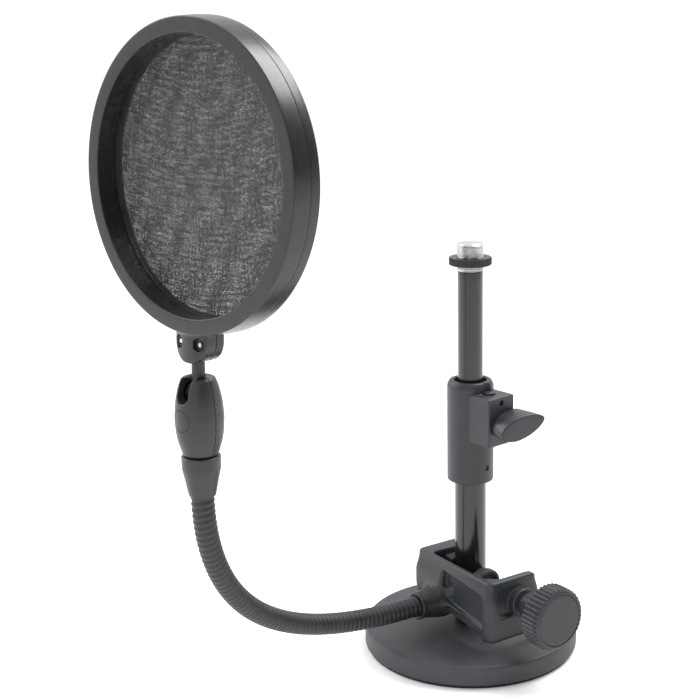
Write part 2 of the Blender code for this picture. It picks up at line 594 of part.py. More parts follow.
def build_swivel():
    collar_axis = frame("swivel_axis", Matrix.Translation(BALL_CENTRE))
    collar_low, collar_high = COLLAR_BOTTOM - BALL_CENTRE.z, COLLAR_TOP - BALL_CENTRE.z
    bore_top = collar_low + 7 * MM
    collar = [
        (0, bore_top), (6.1 * MM, bore_top), (6.1 * MM, collar_low), (6.9 * MM, collar_low),
        (7.25 * MM, collar_low + 1.5 * MM), (8.5 * MM, collar_low + 8 * MM), (9.95 * MM, collar_low + 14.4 * MM),
        (10.05 * MM, collar_low + 17 * MM), (10.05 * MM, collar_high - 0.5 * MM), (9.6 * MM, collar_high),
        (3.4 * MM, collar_high), (3.4 * MM, collar_high - 8 * MM), (0, collar_high - 8 * MM),
    ]
    finish("swivel_collar", turned(collar, 28), "plastic", collar_axis)
    ferrule = rod(5.8 * MM, collar_low + 0.8 * MM, bore_top - GAP, 20)
    finish("gooseneck_top_ferrule", ferrule, "dark_steel", collar_axis)
    pin_low, pin_high = collar_high - 7.7 * MM, 172.8 * MM - BALL_CENTRE.z
    finish("swivel_pin", rod(3.0 * MM, pin_low, pin_high, 20), "steel", collar_axis)

    build_shell_half("swivel_shell_front", collar_axis, -1)
    build_shell_half("swivel_shell_rear", collar_axis, 1)
    screw_z = SHELL_SCREW_Z - BALL_CENTRE.z
    nut = finish("swivel_nut", rod(3.1 * MM, -10.2 * MM, -7.7 * MM, 6, along_y(0, screw_z)), "dark_steel", collar_axis)
    cut(nut, rod(1.8 * MM, -12 * MM, -6 * MM, 12, along_y(0, screw_z)), "thread")
    screw = rod(1.5 * MM, -9.9 * MM, 9 * MM, 12, along_y(0, screw_z))
    screw_node = finish("swivel_screw", screw, "dark_steel", collar_axis)
    add(screw_node, rod(2.9 * MM, 8.5 * MM, 10.8 * MM, 16, along_y(0, screw_z)), "head")
    cap = [(0, -12.5 * MM), (5.0 * MM, -12.3 * MM), (5.5 * MM, -11.8 * MM), (5.5 * MM, -10.9 * MM),
           (0, -10.9 * MM)]
    finish("swivel_cap", turned(cap, 24, turn=along_y(0, screw_z)), "plastic", collar_axis)


# ---------------------------------------------------------------- rod and hoop

def build_ball(hoop):
    ball = bmesh.new()
    bmesh.ops.create_uvsphere(ball, u_segments=16, v_segments=10, radius=BALL_RADIUS)
    node = finish("swivel_ball", ball, "dark_steel", hoop)
    cut(node, rod(ROD_RADIUS + GAP, 0, 9 * MM, 20), "rod_hole")
    finish("hoop_rod", rod(ROD_RADIUS, GAP, HOOP_CENTRE - ROD_DEPTH, 20), "plastic", hoop)


def hoop_half(name, hoop, profile, front, back):
    """One half of the hoop, turned from its profile, with its half of the lug and the rod's socket."""
    middle = Matrix.Translation((0, 0, HOOP_CENTRE))
    half = finish(name, turned(profile, 72, ring=True, turn=middle @ along_y()), "plastic", hoop)
    round_off = 10.8 * MM
    left, right = -LUG_HALF_WIDTH + round_off, LUG_HALF_WIDTH - round_off
    low = HOOP_CENTRE + LUG_BOTTOM + round_off
    top = HOOP_CENTRE - HOOP_BORE - 4.2 * MM
    outline = arc((left, low), round_off, 180, 270, 6) + arc((right, low), round_off, 270, 360, 6)
    outline += [(LUG_HALF_WIDTH, top), (-LUG_HALF_WIDTH, top)]
    inset = 0.25 * MM
    add(half, extruded(outline, front + inset, back - inset, axis="Y"), "lug")
    cut(half, rod(ROD_RADIUS + GAP, 0, HOOP_CENTRE - ROD_DEPTH + GAP, 20), "rod_hole")
    return half


def build_hoop(hoop):
    soft, slight = 1.2 * MM, 0.3 * MM
    front_profile = [
        (HOOP_BORE + soft / 2, HOOP_FRONT), (HOOP_RADIUS - soft, HOOP_FRONT), (HOOP_RADIUS, HOOP_FRONT + soft),
        (HOOP_RADIUS, HOOP_SEAM - slight), (HOOP_RADIUS - slight, HOOP_SEAM), (MESH_RADIUS, HOOP_SEAM),
        (MESH_RADIUS, MESH_FRONT_Y - GAP), (HOOP_BORE, MESH_FRONT_Y - GAP), (HOOP_BORE, HOOP_FRONT + soft / 2),
    ]
    front = hoop_half("hoop_front", hoop, front_profile, HOOP_FRONT, HOOP_SEAM)
    seam, seat_radius, lip = HOOP_SEAM + GAP, MESH_RADIUS + GAP, HOOP_BACK - 1.3 * MM
    rear_profile = [
        (seat_radius, seam), (HOOP_RADIUS - slight, seam), (HOOP_RADIUS, seam + slight),
        (HOOP_RADIUS, HOOP_BACK - soft), (HOOP_RADIUS - soft, HOOP_BACK), (HOOP_BORE, HOOP_BACK),
        (HOOP_BORE, lip), (seat_radius, lip),
    ]
    rear = hoop_half("hoop_rear", hoop, rear_profile, seam, HOOP_BACK)
    for number, x in ((1, -LUG_SCREW_X), (2, LUG_SCREW_X)):
        build_lug_fastener(hoop, front, rear, number, x)

    middle = Matrix.Translation((0, 0, HOOP_CENTRE))

    def disc(name, low):
        shape = turned([(MESH_RADIUS, low), (MESH_RADIUS, low + MESH_THICKNESS)], 60, turn=middle @ along_y())
        finish(name, shape, "mesh", hoop)
    disc("mesh_front", MESH_FRONT_Y)
    disc("mesh_rear", MESH_REAR_Y)
    low, high = MESH_FRONT_Y + MESH_THICKNESS + GAP, MESH_REAR_Y - GAP
    spacer = [(HOOP_BORE + 0.4 * MM, low), (MESH_RADIUS, low), (MESH_RADIUS, high), (HOOP_BORE + 0.4 * MM, high)]
    finish("mesh_spacer_ring", turned(spacer, 72, ring=True, turn=middle @ along_y()), "plastic", hoop)


def build_lug_fastener(hoop, front, rear, number, x):
    z = HOOP_CENTRE + LUG_SCREW_Z
    lay = along_y(x, z)
    for half in (front, rear):
        cut(half, rod(1.7 * MM, -12 * MM, 12 * MM, 12, lay), f"screw_hole_{number}")
    pocket = NUT_ACROSS_CORNERS / 2 + 0.35 * MM
    cut(front, rod(pocket, -12 * MM, -4.2 * MM, 6, lay), f"nut_pocket_{number}")
    cut(rear, rod(3.2 * MM, 5.6 * MM, 12 * MM, 16, lay), f"head_seat_{number}")
    hexagon = rod(NUT_ACROSS_CORNERS / 2, -6.7 * MM, -4.5 * MM, 6, lay)
    nut = finish(f"lug_nut_{number}", hexagon, "dark_steel", hoop)
    cut(nut, rod(1.7 * MM, -8 * MM, -3 * MM, 12, lay), "thread")
    screw = finish(f"lug_screw_{number}", rod(1.4 * MM, -6.4 * MM, 6.5 * MM, 12, lay), "dark_steel", hoop)
    add(screw, rod(2.8 * MM, 5.9 * MM, 7.6 * MM, 16, lay), "head")


# ---------------------------------------------------------------- the whole object

def main():
    for old in list(bpy.data.objects):
        bpy.data.objects.remove(old, do_unlink=True)
    build_base()
    build_lower_post()
    build_clutch_knob(build_clutch())
    build_upper_post()
    clamp = frame("clamp_frame", Matrix.Rotation(CLAMP_TURN, 4, "Z"))
    build_clamp(clamp)
    build_neck_ferrule(clamp)
    build_gooseneck()
    build_swivel()
    hoop = frame("hoop_frame", Matrix.Translation(BALL_CENTRE) @ Matrix.Rotation(-HOOP_LEAN, 4, "X"))
    build_ball(hoop)
    build_hoop(hoop)


main()
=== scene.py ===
"""Visual model of the desk-stand pop filter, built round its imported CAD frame.

Shapes are written in millimetres, in the CAD's own local frames, and piece() turns them into metres. A piece
called NODE_look stands for the CAD node NODE.
"""
import json
from math import cos, pi, radians, sin, tan, tau

import bmesh
import bpy
import numpy as np
from mathutils import Matrix, Vector


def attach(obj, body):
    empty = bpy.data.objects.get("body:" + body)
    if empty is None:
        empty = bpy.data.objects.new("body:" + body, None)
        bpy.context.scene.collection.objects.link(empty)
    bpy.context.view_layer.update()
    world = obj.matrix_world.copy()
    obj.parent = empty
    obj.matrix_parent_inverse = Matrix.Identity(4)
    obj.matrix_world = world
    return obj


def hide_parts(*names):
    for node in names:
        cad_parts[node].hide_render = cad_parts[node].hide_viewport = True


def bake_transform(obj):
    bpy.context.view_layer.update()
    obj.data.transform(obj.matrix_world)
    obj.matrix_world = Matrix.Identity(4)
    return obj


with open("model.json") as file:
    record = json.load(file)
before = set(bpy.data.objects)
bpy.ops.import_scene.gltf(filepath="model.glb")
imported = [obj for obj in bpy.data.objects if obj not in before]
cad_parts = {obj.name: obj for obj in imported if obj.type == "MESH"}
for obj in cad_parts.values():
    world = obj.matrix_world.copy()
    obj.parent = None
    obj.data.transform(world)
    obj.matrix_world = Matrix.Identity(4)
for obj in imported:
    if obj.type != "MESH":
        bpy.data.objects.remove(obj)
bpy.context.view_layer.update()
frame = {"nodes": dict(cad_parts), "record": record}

MM = 0.001

BASE_RADIUS = 65.0
PAD_HEIGHT = 1.8                    # the rubber disc under the base
LOWER_TUBE_RADIUS = 9.5
UPPER_TUBE_RADIUS = 7.5
STUD_RADIUS = 7.9
STUD_TOP = 250.5
CLUTCH_SCREW_Z = 145.7
SWIVEL_SCREW_Z = -12.4              # below the ball
LUG_SCREW_X, LUG_SCREW_Z = 7.15, -82.0    # from the hoop's centre
HOOP_BORE = 69.3
HOOP_OUTSIDE = 78.1
HOOP_HALF_DEPTH = 8.0
MESH_RADIUS = 72.6


# ---------------------------------------------------------------- places

def move(x=0.0, y=0.0, z=0.0):
    return Matrix.Translation((x, y, z))


def turn(degrees, axis):
    return Matrix.Rotation(radians(degrees), 4, axis)


ALONG_X = turn(90, "Y")
ALONG_Y = turn(-90, "X")
POST = Matrix.Identity(4)
CLUTCH = turn(-5, "Z")
CLAMP = turn(-12.5, "Z")
BALL = move(-13, -197, 200)
HOOP = BALL @ turn(-2.2, "X")
HOOP_MIDDLE = HOOP @ move(z=108)


# ---------------------------------------------------------------- mesh tools

def rounded(corners, closed=False):
    """Points along a profile of (radius, height, fillet), with an arc at each filleted corner."""
    points = []
    count = len(corners)
    for i, (radius, height, fillet) in enumerate(corners):
        here = np.array((radius, height), float)
        if fillet <= 0 or (not closed and i in (0, count - 1)):
            points.append(here)
            continue
        back = np.array(corners[i - 1][:2], float) - here
        ahead = np.array(corners[(i + 1) % count][:2], float) - here
        long_back, long_ahead = np.linalg.norm(back), np.linalg.norm(ahead)
        back, ahead = back / long_back, ahead / long_ahead
        half = np.arccos(np.clip(back @ ahead, -1, 1)) / 2
        if half > 1.5:
            points.append(here)
            continue
        reach = min(fillet / tan(half), 0.49 * long_back, 0.49 * long_ahead)
        middle = back + ahead
        centre = here + middle / np.linalg.norm(middle) * reach / cos(half)
        first, last = here + back * reach - centre, here + ahead * reach - centre
        swing = pi - 2 * half
        steps = max(3, int(swing / radians(12)) + 1)
        for k in range(steps + 1):
            t = k / steps
            points.append(centre + (sin((1 - t) * swing) * first + sin(t * swing) * last) / sin(swing))
    return points


def fine(points, step, closed=False):
    """The same profile with its long stretches cut into short ones."""
    result = []
    ends = points[1:] + ([points[0]] if closed else [])
    for a, b in zip(points, ends):
        a, b = np.array(a, float), np.array(b, float)
        pieces = max(1, int(np.ceil(np.linalg.norm(b - a) / step)))
        result += [a + (b - a) * k / pieces for k in range(pieces)]
    if not closed:
        result.append(np.array(points[-1], float))
    return result


def turned(points, sides=128, shape=None, closed=False):
    """A profile turned about Z. If given, shape(radius, height, angle) gives each ring's own radii."""
    angle = (np.arange(sides) + 0.5) * tau / sides
    verts, faces, rings = [], [], []
    for radius, height in points:
        if radius < 1e-6:
            rings.append([len(verts)])
            verts.append((0.0, 0.0, height))
            continue
        radii = np.full(sides, radius) if shape is None else shape(radius, height, angle)
        rings.append(list(range(len(verts), len(verts) + sides)))
        verts += list(zip(radii * np.cos(angle), radii * np.sin(angle), np.full(sides, height)))
    following = rings[1:] + (rings[:1] if closed else [])
    for low, high in zip(rings, following):
        for i in range(sides):
            j = (i + 1) % sides
            if len(low) == 1 and len(high) > 1:
                faces.append((low[0], high[j], high[i]))
            elif len(high) == 1 and len(low) > 1:
                faces.append((low[i], low[j], high[0]))
            elif len(low) > 1:
                faces.append((low[i], low[j], high[j], high[i]))
    return np.array(verts), faces


def joined(*meshes):
    """Several meshes as one."""
    verts, faces, start = [], [], 0
    for points, own in meshes:
        verts.append(points)
        faces += [tuple(i + start for i in face) for face in own]
        start += len(points)
    return np.concatenate(verts), faces


def placed(mesh, place):
    """A mesh moved by a matrix."""
    points, faces = mesh
    matrix = np.array(place)
    return points @ matrix[:3, :3].T + matrix[:3, 3], faces


def surface_net(field, low, high, step):
    """A closed quad mesh of the surface where field is zero, in the box from low to high."""
    low = np.array(low, float)
    axes = [np.arange(a, b + step, step) for a, b in zip(low, high)]
    grid = np.stack(np.meshgrid(*axes, indexing="ij"), -1)
    value = field(grid.reshape(-1, 3)).reshape(grid.shape[:3])
    cells = tuple(n - 1 for n in value.shape)
    count = np.zeros(cells)
    total = np.zeros(cells + (3,))

    def corner(i, j, k):
        return value[i:i + cells[0], j:j + cells[1], k:k + cells[2]]
    for axis in range(3):
        others = [a for a in range(3) if a != axis]
        for u in (0, 1):
            for v in (0, 1):
                start = [0, 0, 0]
                start[others[0]], start[others[1]] = u, v
                end = list(start)
                end[axis] = 1
                a, b = corner(*start), corner(*end)
                crossing = (a < 0) != (b < 0)
                share = np.where(crossing, a / np.where(crossing, a - b, 1), 0)
                count += crossing
                total[..., axis] += share
                total[..., others[0]] += crossing * u
                total[..., others[1]] += crossing * v
    used = count > 0
    index = np.full(cells, -1)
    index[used] = np.arange(used.sum())
    where = np.argwhere(used)
    points = low + (where + total[used] / count[used][:, None]) * step
    quads = []
    for axis in range(3):
        others = [a for a in range(3) if a != axis]
        first = [slice(None)] * 3
        second = [slice(None)] * 3
        first[axis], second[axis] = slice(0, -1), slice(1, None)
        a, b = value[tuple(first)] < 0, value[tuple(second)] < 0
        spots = np.argwhere(a != b)
        inner = (spots[:, others[0]] > 0) & (spots[:, others[1]] > 0)
        inner &= (spots[:, others[0]] < cells[others[0]]) & (spots[:, others[1]] < cells[others[1]])
        spots = spots[inner]
        ring = []
        for u, v in ((1, 1), (0, 1), (0, 0), (1, 0)):
            cell = spots.copy()
            cell[:, others[0]] -= u
            cell[:, others[1]] -= v
            ring.append(index[tuple(cell.T)])
        quads.append(np.stack(ring, -1))
    quads = np.concatenate(quads)
    for _ in range(3):
        points = onto(field, points, step)
    return points, [tuple(q) for q in quads.tolist()]


def onto(field, points, step):
    """Points moved one Newton step towards the surface."""
    tiny = 0.02
    slope = np.stack([
        (field(points + tiny * unit) - field(points - tiny * unit)) / (2 * tiny) for unit in np.eye(3)
    ], -1)
    steep = np.maximum((slope ** 2).sum(-1), 0.2)
    shift = -field(points)[:, None] * slope / steep[:, None]
    length = np.linalg.norm(shift, axis=-1, keepdims=True)
    return points + shift * np.minimum(1, 0.4 * step / np.maximum(length, 1e-9))


def smooth_min(a, b, width):
    """The lower of two fields, with a fillet of about width between them."""
    share = np.clip(0.5 + 0.5 * (b - a) / width, 0, 1)
    return b * (1 - share) + a * share - width * share * (1 - share)


def smooth_max(a, b, width):
    """The higher of two fields, with its edge rounded in the same way."""
    return -smooth_min(-a, -b, width)


def ball_field(p, centre, radius):
    return np.linalg.norm(p - np.array(centre, float), axis=-1) - radius


def corner_field(*sides):
    """Distance to a convex corner made by the given signed sides."""
    stack = np.stack(sides, -1)
    return np.linalg.norm(np.maximum(stack, 0), axis=-1) + np.minimum(stack.max(-1), 0)


def box_field(p, low, high, radius=0.5):
    """A box from low to high, with edges of the given radius."""
    low, high = np.array(low, float), np.array(high, float)
    sides = np.abs(p - (low + high) / 2) - ((high - low) / 2 - radius)
    return corner_field(*sides.T) - radius


def rod_field(p, axis, centre, radius, low, high, edge=0.3):
    """A round bar along an axis, through the point centre given in the other two directions."""
    others = [a for a in range(3) if a != axis]
    across = np.hypot(p[:, others[0]] - centre[0], p[:, others[1]] - centre[1]) - (radius - edge)
    along = np.abs(p[:, axis] - (low + high) / 2) - ((high - low) / 2 - edge)
    return corner_field(across, along) - edge


def hex_field(u, v, corner):
    """A hexagon with corners at the top and bottom of v."""
    flat = corner * cos(pi / 6)
    return np.maximum.reduce([np.abs(u), np.abs(u / 2 + v * 0.866), np.abs(u / 2 - v * 0.866)]) - flat


def piece(name, mesh, material, body, nodes=(), place=POST, sharp=35):
    """A mesh object in the row frame, from millimetres, riding on a body and standing for its CAD nodes."""
    points, faces = placed(mesh, place)
    data = bpy.data.meshes.new(name)
    data.from_pydata((points * MM).tolist(), [], faces)
    clean = bmesh.new()
    clean.from_mesh(data)
    bmesh.ops.recalc_face_normals(clean, faces=clean.faces)
    clean.to_mesh(data)
    clean.free()
    data.shade_smooth()
    data.set_sharp_from_angle(angle=radians(sharp))
    made = bpy.data.objects.new(name, data)
    bpy.context.scene.collection.objects.link(made)
    data.materials.append(LOOKS[material])
    if body:
        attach(made, body)
    if nodes:
        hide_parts(*nodes)
    return made


# ---------------------------------------------------------------- materials

class Recipe:
    """A node material under construction, laid out in object coordinates, so in metres."""

    def __init__(self, name):
        self.made = bpy.data.materials.new(name)
        self.made.use_nodes = True
        self.nodes = self.made.node_tree.nodes
        self.links = self.made.node_tree.links
        self.shader = self.nodes["Principled BSDF"]
        self.place = self.nodes.new("ShaderNodeTexCoord").outputs["Object"]

    def feed(self, source, target):
        self.links.new(source, target)

    def noise(self, scale, detail=3.0, stretch=(1, 1, 1), rough=0.5):
        node = self.nodes.new("ShaderNodeTexNoise")
        node.inputs["Scale"].default_value = scale
        node.inputs["Detail"].default_value = detail
        node.inputs["Roughness"].default_value = rough
        source = self.place
        if stretch != (1, 1, 1):
            mapping = self.nodes.new("ShaderNodeMapping")
            mapping.inputs["Scale"].default_value = stretch
            self.feed(source, mapping.inputs["Vector"])
            source = mapping.outputs["Vector"]
        self.feed(source, node.inputs["Vector"])
        return node.outputs["Fac"]

    def ranged(self, source, low, high, start=0.3, end=0.7):
        """A socket's values from start to end, spread from low to high."""
        node = self.nodes.new("ShaderNodeMapRange")
        node.inputs["From Min"].default_value = start
        node.inputs["From Max"].default_value = end
        node.inputs["To Min"].default_value = low
        node.inputs["To Max"].default_value = high
        self.feed(source, node.inputs["Value"])
        return node.outputs["Result"]

    def maths(self, operation, a, b=0.0):
        """One Math node; a and b are sockets or numbers."""
        node = self.nodes.new("ShaderNodeMath")
        node.operation = operation
        for socket, value in zip(node.inputs, (a, b)):
            if isinstance(value, (int, float)):
                socket.default_value = value
            else:
                self.feed(value, socket)
        return node.outputs["Value"]

    def colours(self, factor, first, second):
        """A base colour between two; a Mix node's colour sockets are its inputs 6 and 7 and its output 2."""
        node = self.nodes.new("ShaderNodeMix")
        node.data_type = "RGBA"
        node.inputs[6].default_value = (*first, 1)
        node.inputs[7].default_value = (*second, 1)
        self.feed(factor, node.inputs[0])
        self.feed(node.outputs[2], self.shader.inputs["Base Color"])

    def bump(self, heights, strength, distance):
        """Relief from a height socket, at most distance metres deep."""
        node = self.nodes.new("ShaderNodeBump")
        node.inputs["Strength"].default_value = strength
        node.inputs["Distance"].default_value = distance
        self.feed(heights, node.inputs["Height"])
        self.feed(node.outputs["Normal"], self.shader.inputs["Normal"])


def surface(name, first, second, rough, grain, depth, patch=70.0, metallic=0.0, level=0.5, spread=0.06,
            stretch=(1, 1, 1), coat=0.0):
    """Colour and gloss that drift in patches, over a fine grain of the given size in millimetres."""
    look = Recipe(name)
    drift = look.noise(patch, 5.0, stretch)
    speckle = look.noise(1000.0 / grain, 2.0, stretch, 0.6)
    blend = look.maths("ADD", look.maths("MULTIPLY", drift, 0.6), look.maths("MULTIPLY", speckle, 0.4))
    look.colours(look.ranged(blend, 0, 1), first, second)
    look.feed(look.ranged(blend, rough - spread, rough + spread), look.shader.inputs["Roughness"])
    look.bump(speckle, 0.6, depth * MM)
    look.shader.inputs["Metallic"].default_value = metallic
    look.shader.inputs["Specular IOR Level"].default_value = level
    look.shader.inputs["Coat Weight"].default_value = coat
    look.shader.inputs["Coat Roughness"].default_value = 0.12
    return look.made


def cloth(name, pitch, bow, wander, angle, shift):
    """Woven nylon: holes between wandering threads, drawn by the material's alpha.

    pitch is the threads' spacing across and up, in millimetres. bow bends the weave's rows into arcs, wander
    is how far they drift, in millimetres, and angle and shift lay the weave in its disc.
    """
    look = Recipe(name)
    mapping = look.nodes.new("ShaderNodeMapping")
    mapping.inputs["Location"].default_value = (shift[0] * MM, 0, shift[1] * MM)
    mapping.inputs["Rotation"].default_value = (0, radians(angle), 0)
    split = look.nodes.new("ShaderNodeSeparateXYZ")
    look.feed(look.place, mapping.inputs["Vector"])
    look.feed(mapping.outputs["Vector"], split.inputs["Vector"])
    across, up = split.outputs["X"], split.outputs["Z"]

    def sway(scale, detail, reach):
        """A random shift, reach millimetres from end to end."""
        centred = look.maths("SUBTRACT", look.noise(scale, detail), 0.5)
        return look.maths("MULTIPLY", centred, reach * MM)
    drift = look.maths("ADD", sway(26.0, 2.0, wander), sway(130.0, 2.0, 0.22 * wander))
    arc = look.maths("MULTIPLY", look.maths("MULTIPLY", across, across), bow)
    rows = look.maths("ADD", look.maths("ADD", look.maths("ADD", up, arc), drift), sway(2300.0, 1.0, 0.78))
    lean = look.maths("ADD", across, look.maths("MULTIPLY", drift, 0.18))
    columns = look.maths("ADD", lean, sway(1900.0, 1.0, 0.85))
    masks, waves = [], []
    for along, spacing, stretch in ((columns, pitch[0], (1, 1, 0.12)), (rows, pitch[1], (0.12, 1, 1))):
        thickness = look.ranged(look.noise(900.0, 1.0, stretch), -0.55, 0.55)
        wave = look.maths("SINE", look.maths("MULTIPLY", along, tau / (spacing * MM)))
        waves.append(wave)
        masks.append(look.ranged(look.maths("ADD", wave, thickness), 0, 1, -0.27, 0.03))
    look.feed(look.maths("MAXIMUM", masks[0], masks[1]), look.shader.inputs["Alpha"])
    patch = look.noise(55.0, 4.0)
    look.colours(look.ranged(patch, 0, 1), (0.011, 0.0115, 0.013), (0.026, 0.027, 0.030))
    look.feed(look.ranged(patch, 0.40, 0.58), look.shader.inputs["Roughness"])
    look.bump(look.maths("MAXIMUM", waves[0], waves[1]), 0.5, 0.08 * MM)
    return look.made


LOOKS = {
    "base_cast": surface("base_cast_look", (0.027, 0.0295, 0.033), (0.052, 0.056, 0.062), 0.55, 0.80, 0.16),
    "base_rubber": surface("base_rubber_look", (0.011, 0.011, 0.012), (0.020, 0.020, 0.021), 0.80, 0.5, 0.05),
    "zinc_steel": surface("zinc_steel_look", (0.50, 0.50, 0.49), (0.66, 0.66, 0.64), 0.30, 0.6, 0.01,
                          metallic=1.0, stretch=(1, 1, 4)),
    "dark_steel": surface("dark_steel_look", (0.030, 0.030, 0.032), (0.060, 0.060, 0.063), 0.36, 0.5, 0.02,
                          metallic=0.8),
    "tube_black": surface("tube_black_look", (0.010, 0.010, 0.011), (0.017, 0.017, 0.018), 0.20, 1.2, 0.006,
                          patch=40.0, stretch=(1, 1, 0.35), coat=0.25, spread=0.05),
    "clutch_plastic": surface("clutch_plastic_look", (0.020, 0.022, 0.0255), (0.033, 0.036, 0.041),
                              0.42, 0.45, 0.025),
    "bush_rubber": surface("bush_rubber_look", (0.008, 0.008, 0.008), (0.014, 0.014, 0.014), 0.85, 0.5, 0.03),
    "clamp_plastic": surface("clamp_plastic_look", (0.0155, 0.0178, 0.0208), (0.027, 0.0305, 0.035),
                             0.46, 0.45, 0.04),
    "clamp_rubber": surface("clamp_rubber_look", (0.014, 0.015, 0.015), (0.024, 0.025, 0.026),
                            0.66, 0.4, 0.03),
    "neck_steel": surface("neck_steel_look", (0.0145, 0.0152, 0.0168), (0.026, 0.027, 0.0295),
                          0.52, 0.45, 0.03),
    "swivel_plastic": surface("swivel_plastic_look", (0.020, 0.0215, 0.024), (0.033, 0.035, 0.038),
                              0.38, 0.45, 0.025),
    "rod_plastic": surface("rod_plastic_look", (0.018, 0.018, 0.019), (0.027, 0.027, 0.029), 0.40, 0.4, 0.02),
    "hoop_plastic": surface("hoop_plastic_look", (0.0135, 0.0143, 0.0156), (0.0215, 0.0227, 0.0248),
                            0.27, 0.45, 0.014, spread=0.04),
    "mesh_front_cloth": cloth("mesh_front_cloth_look", (0.50, 0.50), 0.35, 0.9, 0.0, (0.0, 0.0)),
    "mesh_rear_cloth": cloth("mesh_rear_cloth_look", (0.515, 0.437), -0.15, 0.5, 0.8, (7.3, 4.1)),
}


# ---------------------------------------------------------------- stand

def build_base():
    rim = BASE_RADIUS
    weight = rounded([(4.3, 9.4, 0), (12, 9.4, 0), (12, 2.1, 0.2), (rim - 0.7, 2.1, 0.6), (rim, 3.2, 0.5),
                      (rim, 14.0, 1.8), (20, 14.35, 0), (10.6, 14.5, 0.5), (4.3, 14.5, 0)], closed=True)
    mesh = turned(fine(weight, 4.0, True), 256, closed=True)
    piece("base_weight_look", mesh, "base_cast", "stand", ["base_weight"])
    edge = rim - 1.6
    disc = rounded([(0, PAD_HEIGHT, 0), (edge - 0.8, PAD_HEIGHT, 0.2), (edge, 1.4, 0.3), (edge, 0.4, 0.3),
                    (edge - 0.5, 0, 0.2), (0, 0, 0)])
    piece("base_pad_look", turned(fine(disc, 4.0), 256), "base_rubber", "stand", ["base_pad"])


def tube(outside, wall, low, high, fillet):
    """A tube's turned shell, with its outer edges rounded at both ends."""
    inside = outside - wall
    outline = rounded([(inside, low, 0.2), (outside, low, fillet), (outside, high, fillet + 0.1),
                       (inside, high, 0.2)], closed=True)
    return turned(fine(outline, 6, True), 160, closed=True)


def build_tubes():
    lower = tube(LOWER_TUBE_RADIUS, 1.5, 14.8, 130, 0.4)
    piece("lower_tube_look", lower, "tube_black", "stand", ["lower_tube"])
    upper = tube(UPPER_TUBE_RADIUS, 1.2, 80.3, 234, 0.3)
    piece("upper_tube_look", upper, "tube_black", "upper_post", ["upper_tube"])


def thread(pitch, depth, low, high, crest):
    """Radii of a screw thread between two heights, with plain ends."""
    def shape(radius, height, angle):
        place = (height / pitch - angle / tau) % 1.0
        tooth = np.clip(1.6 * np.abs(2 * place - 1) - 0.3, 0, 1)
        inside = np.clip(min(height - low, high - height) / pitch, 0, 1)
        return radius - depth * tooth * inside * (radius > crest - 0.05)
    return shape


def build_top():
    crest, low = STUD_RADIUS, 234.3
    profile = rounded([(0, 220, 0), (6.0, 220, 0), (6.0, low, 0), (crest, low, 0.2),
                       (crest, STUD_TOP - 0.9, 0), (crest - 0.9, STUD_TOP, 0.2), (0, STUD_TOP, 0)])
    stud = turned(fine(profile, 0.12), 120, thread(0.94, 0.52, low + 0.3, STUD_TOP - 0.7, crest))
    piece("top_stud_look", stud, "zinc_steel", "upper_post", ["top_stud"], sharp=50)

    def knurl(radius, height, angle):
        wave = np.abs(np.sin(angle * 30)) ** 0.7
        return radius - 0.55 * (1 - wave) * (radius > 12.0)
    bore, rim, low, high = crest + 0.3, 12.7, 237.6, 242.2
    ring = rounded([(bore, low, 0.2), (rim, low, 0.7), (rim, high, 0.7), (bore, high, 0.2)], closed=True)
    knurled = turned(fine(ring, 0.5, True), 480, knurl, closed=True)
    piece("top_lock_ring_look", knurled, "dark_steel", "lock_ring", ["top_lock_ring"])


# ---------------------------------------------------------------- clutch

def clutch_field(p):
    """A barrel with a square boss, the tube's bore, the cap's seat and three screw holes."""
    across = np.hypot(p[:, 0], p[:, 1])
    height = p[:, 2]
    barrel = corner_field(across - 13.0, np.abs(height - 137) - 30.0) - 1.0
    barrel = smooth_max(barrel, (across - 14 + (height - 165.2) * 0.55) * 0.87, 0.6)
    boss = box_field(p, (-2, -10.6, 132.5), (25.8, 10.6, 161.8), 0.9)
    shape = smooth_min(barrel, boss, 0.7)
    shape = smooth_max(shape, 9.8 - across, 0.35)
    seat = rod_field(p, 2, (15.5, 0), 3.75, 161.3, 172, 0.1)
    shape = smooth_max(shape, -seat, 0.3)
    for level, radius, start in ((CLUTCH_SCREW_Z, 3.2, 5), (158.0, 1.7, 18.8), (115.7, 1.5, 8)):
        shape = smooth_max(shape, -rod_field(p, 0, (0, level), radius, start, 34, 0.1), 0.3)
    return shape


def build_clutch():
    body = surface_net(clutch_field, (-15, -15, 105), (27, 15, 169), 0.42)
    piece("clutch_body_look", body, "clutch_plastic", "stand", ["clutch_body"], CLUTCH, sharp=70)
    cap = rounded([(0, 161.6, 0), (3.4, 161.6, 0.2), (3.4, 163.0, 0.6), (0, 163.2, 0)])
    piece("clutch_pin_cap_look", turned(fine(cap, 0.6), 64), "clutch_plastic", "stand", ["clutch_pin_cap"],
          CLUTCH @ move(x=15.5))


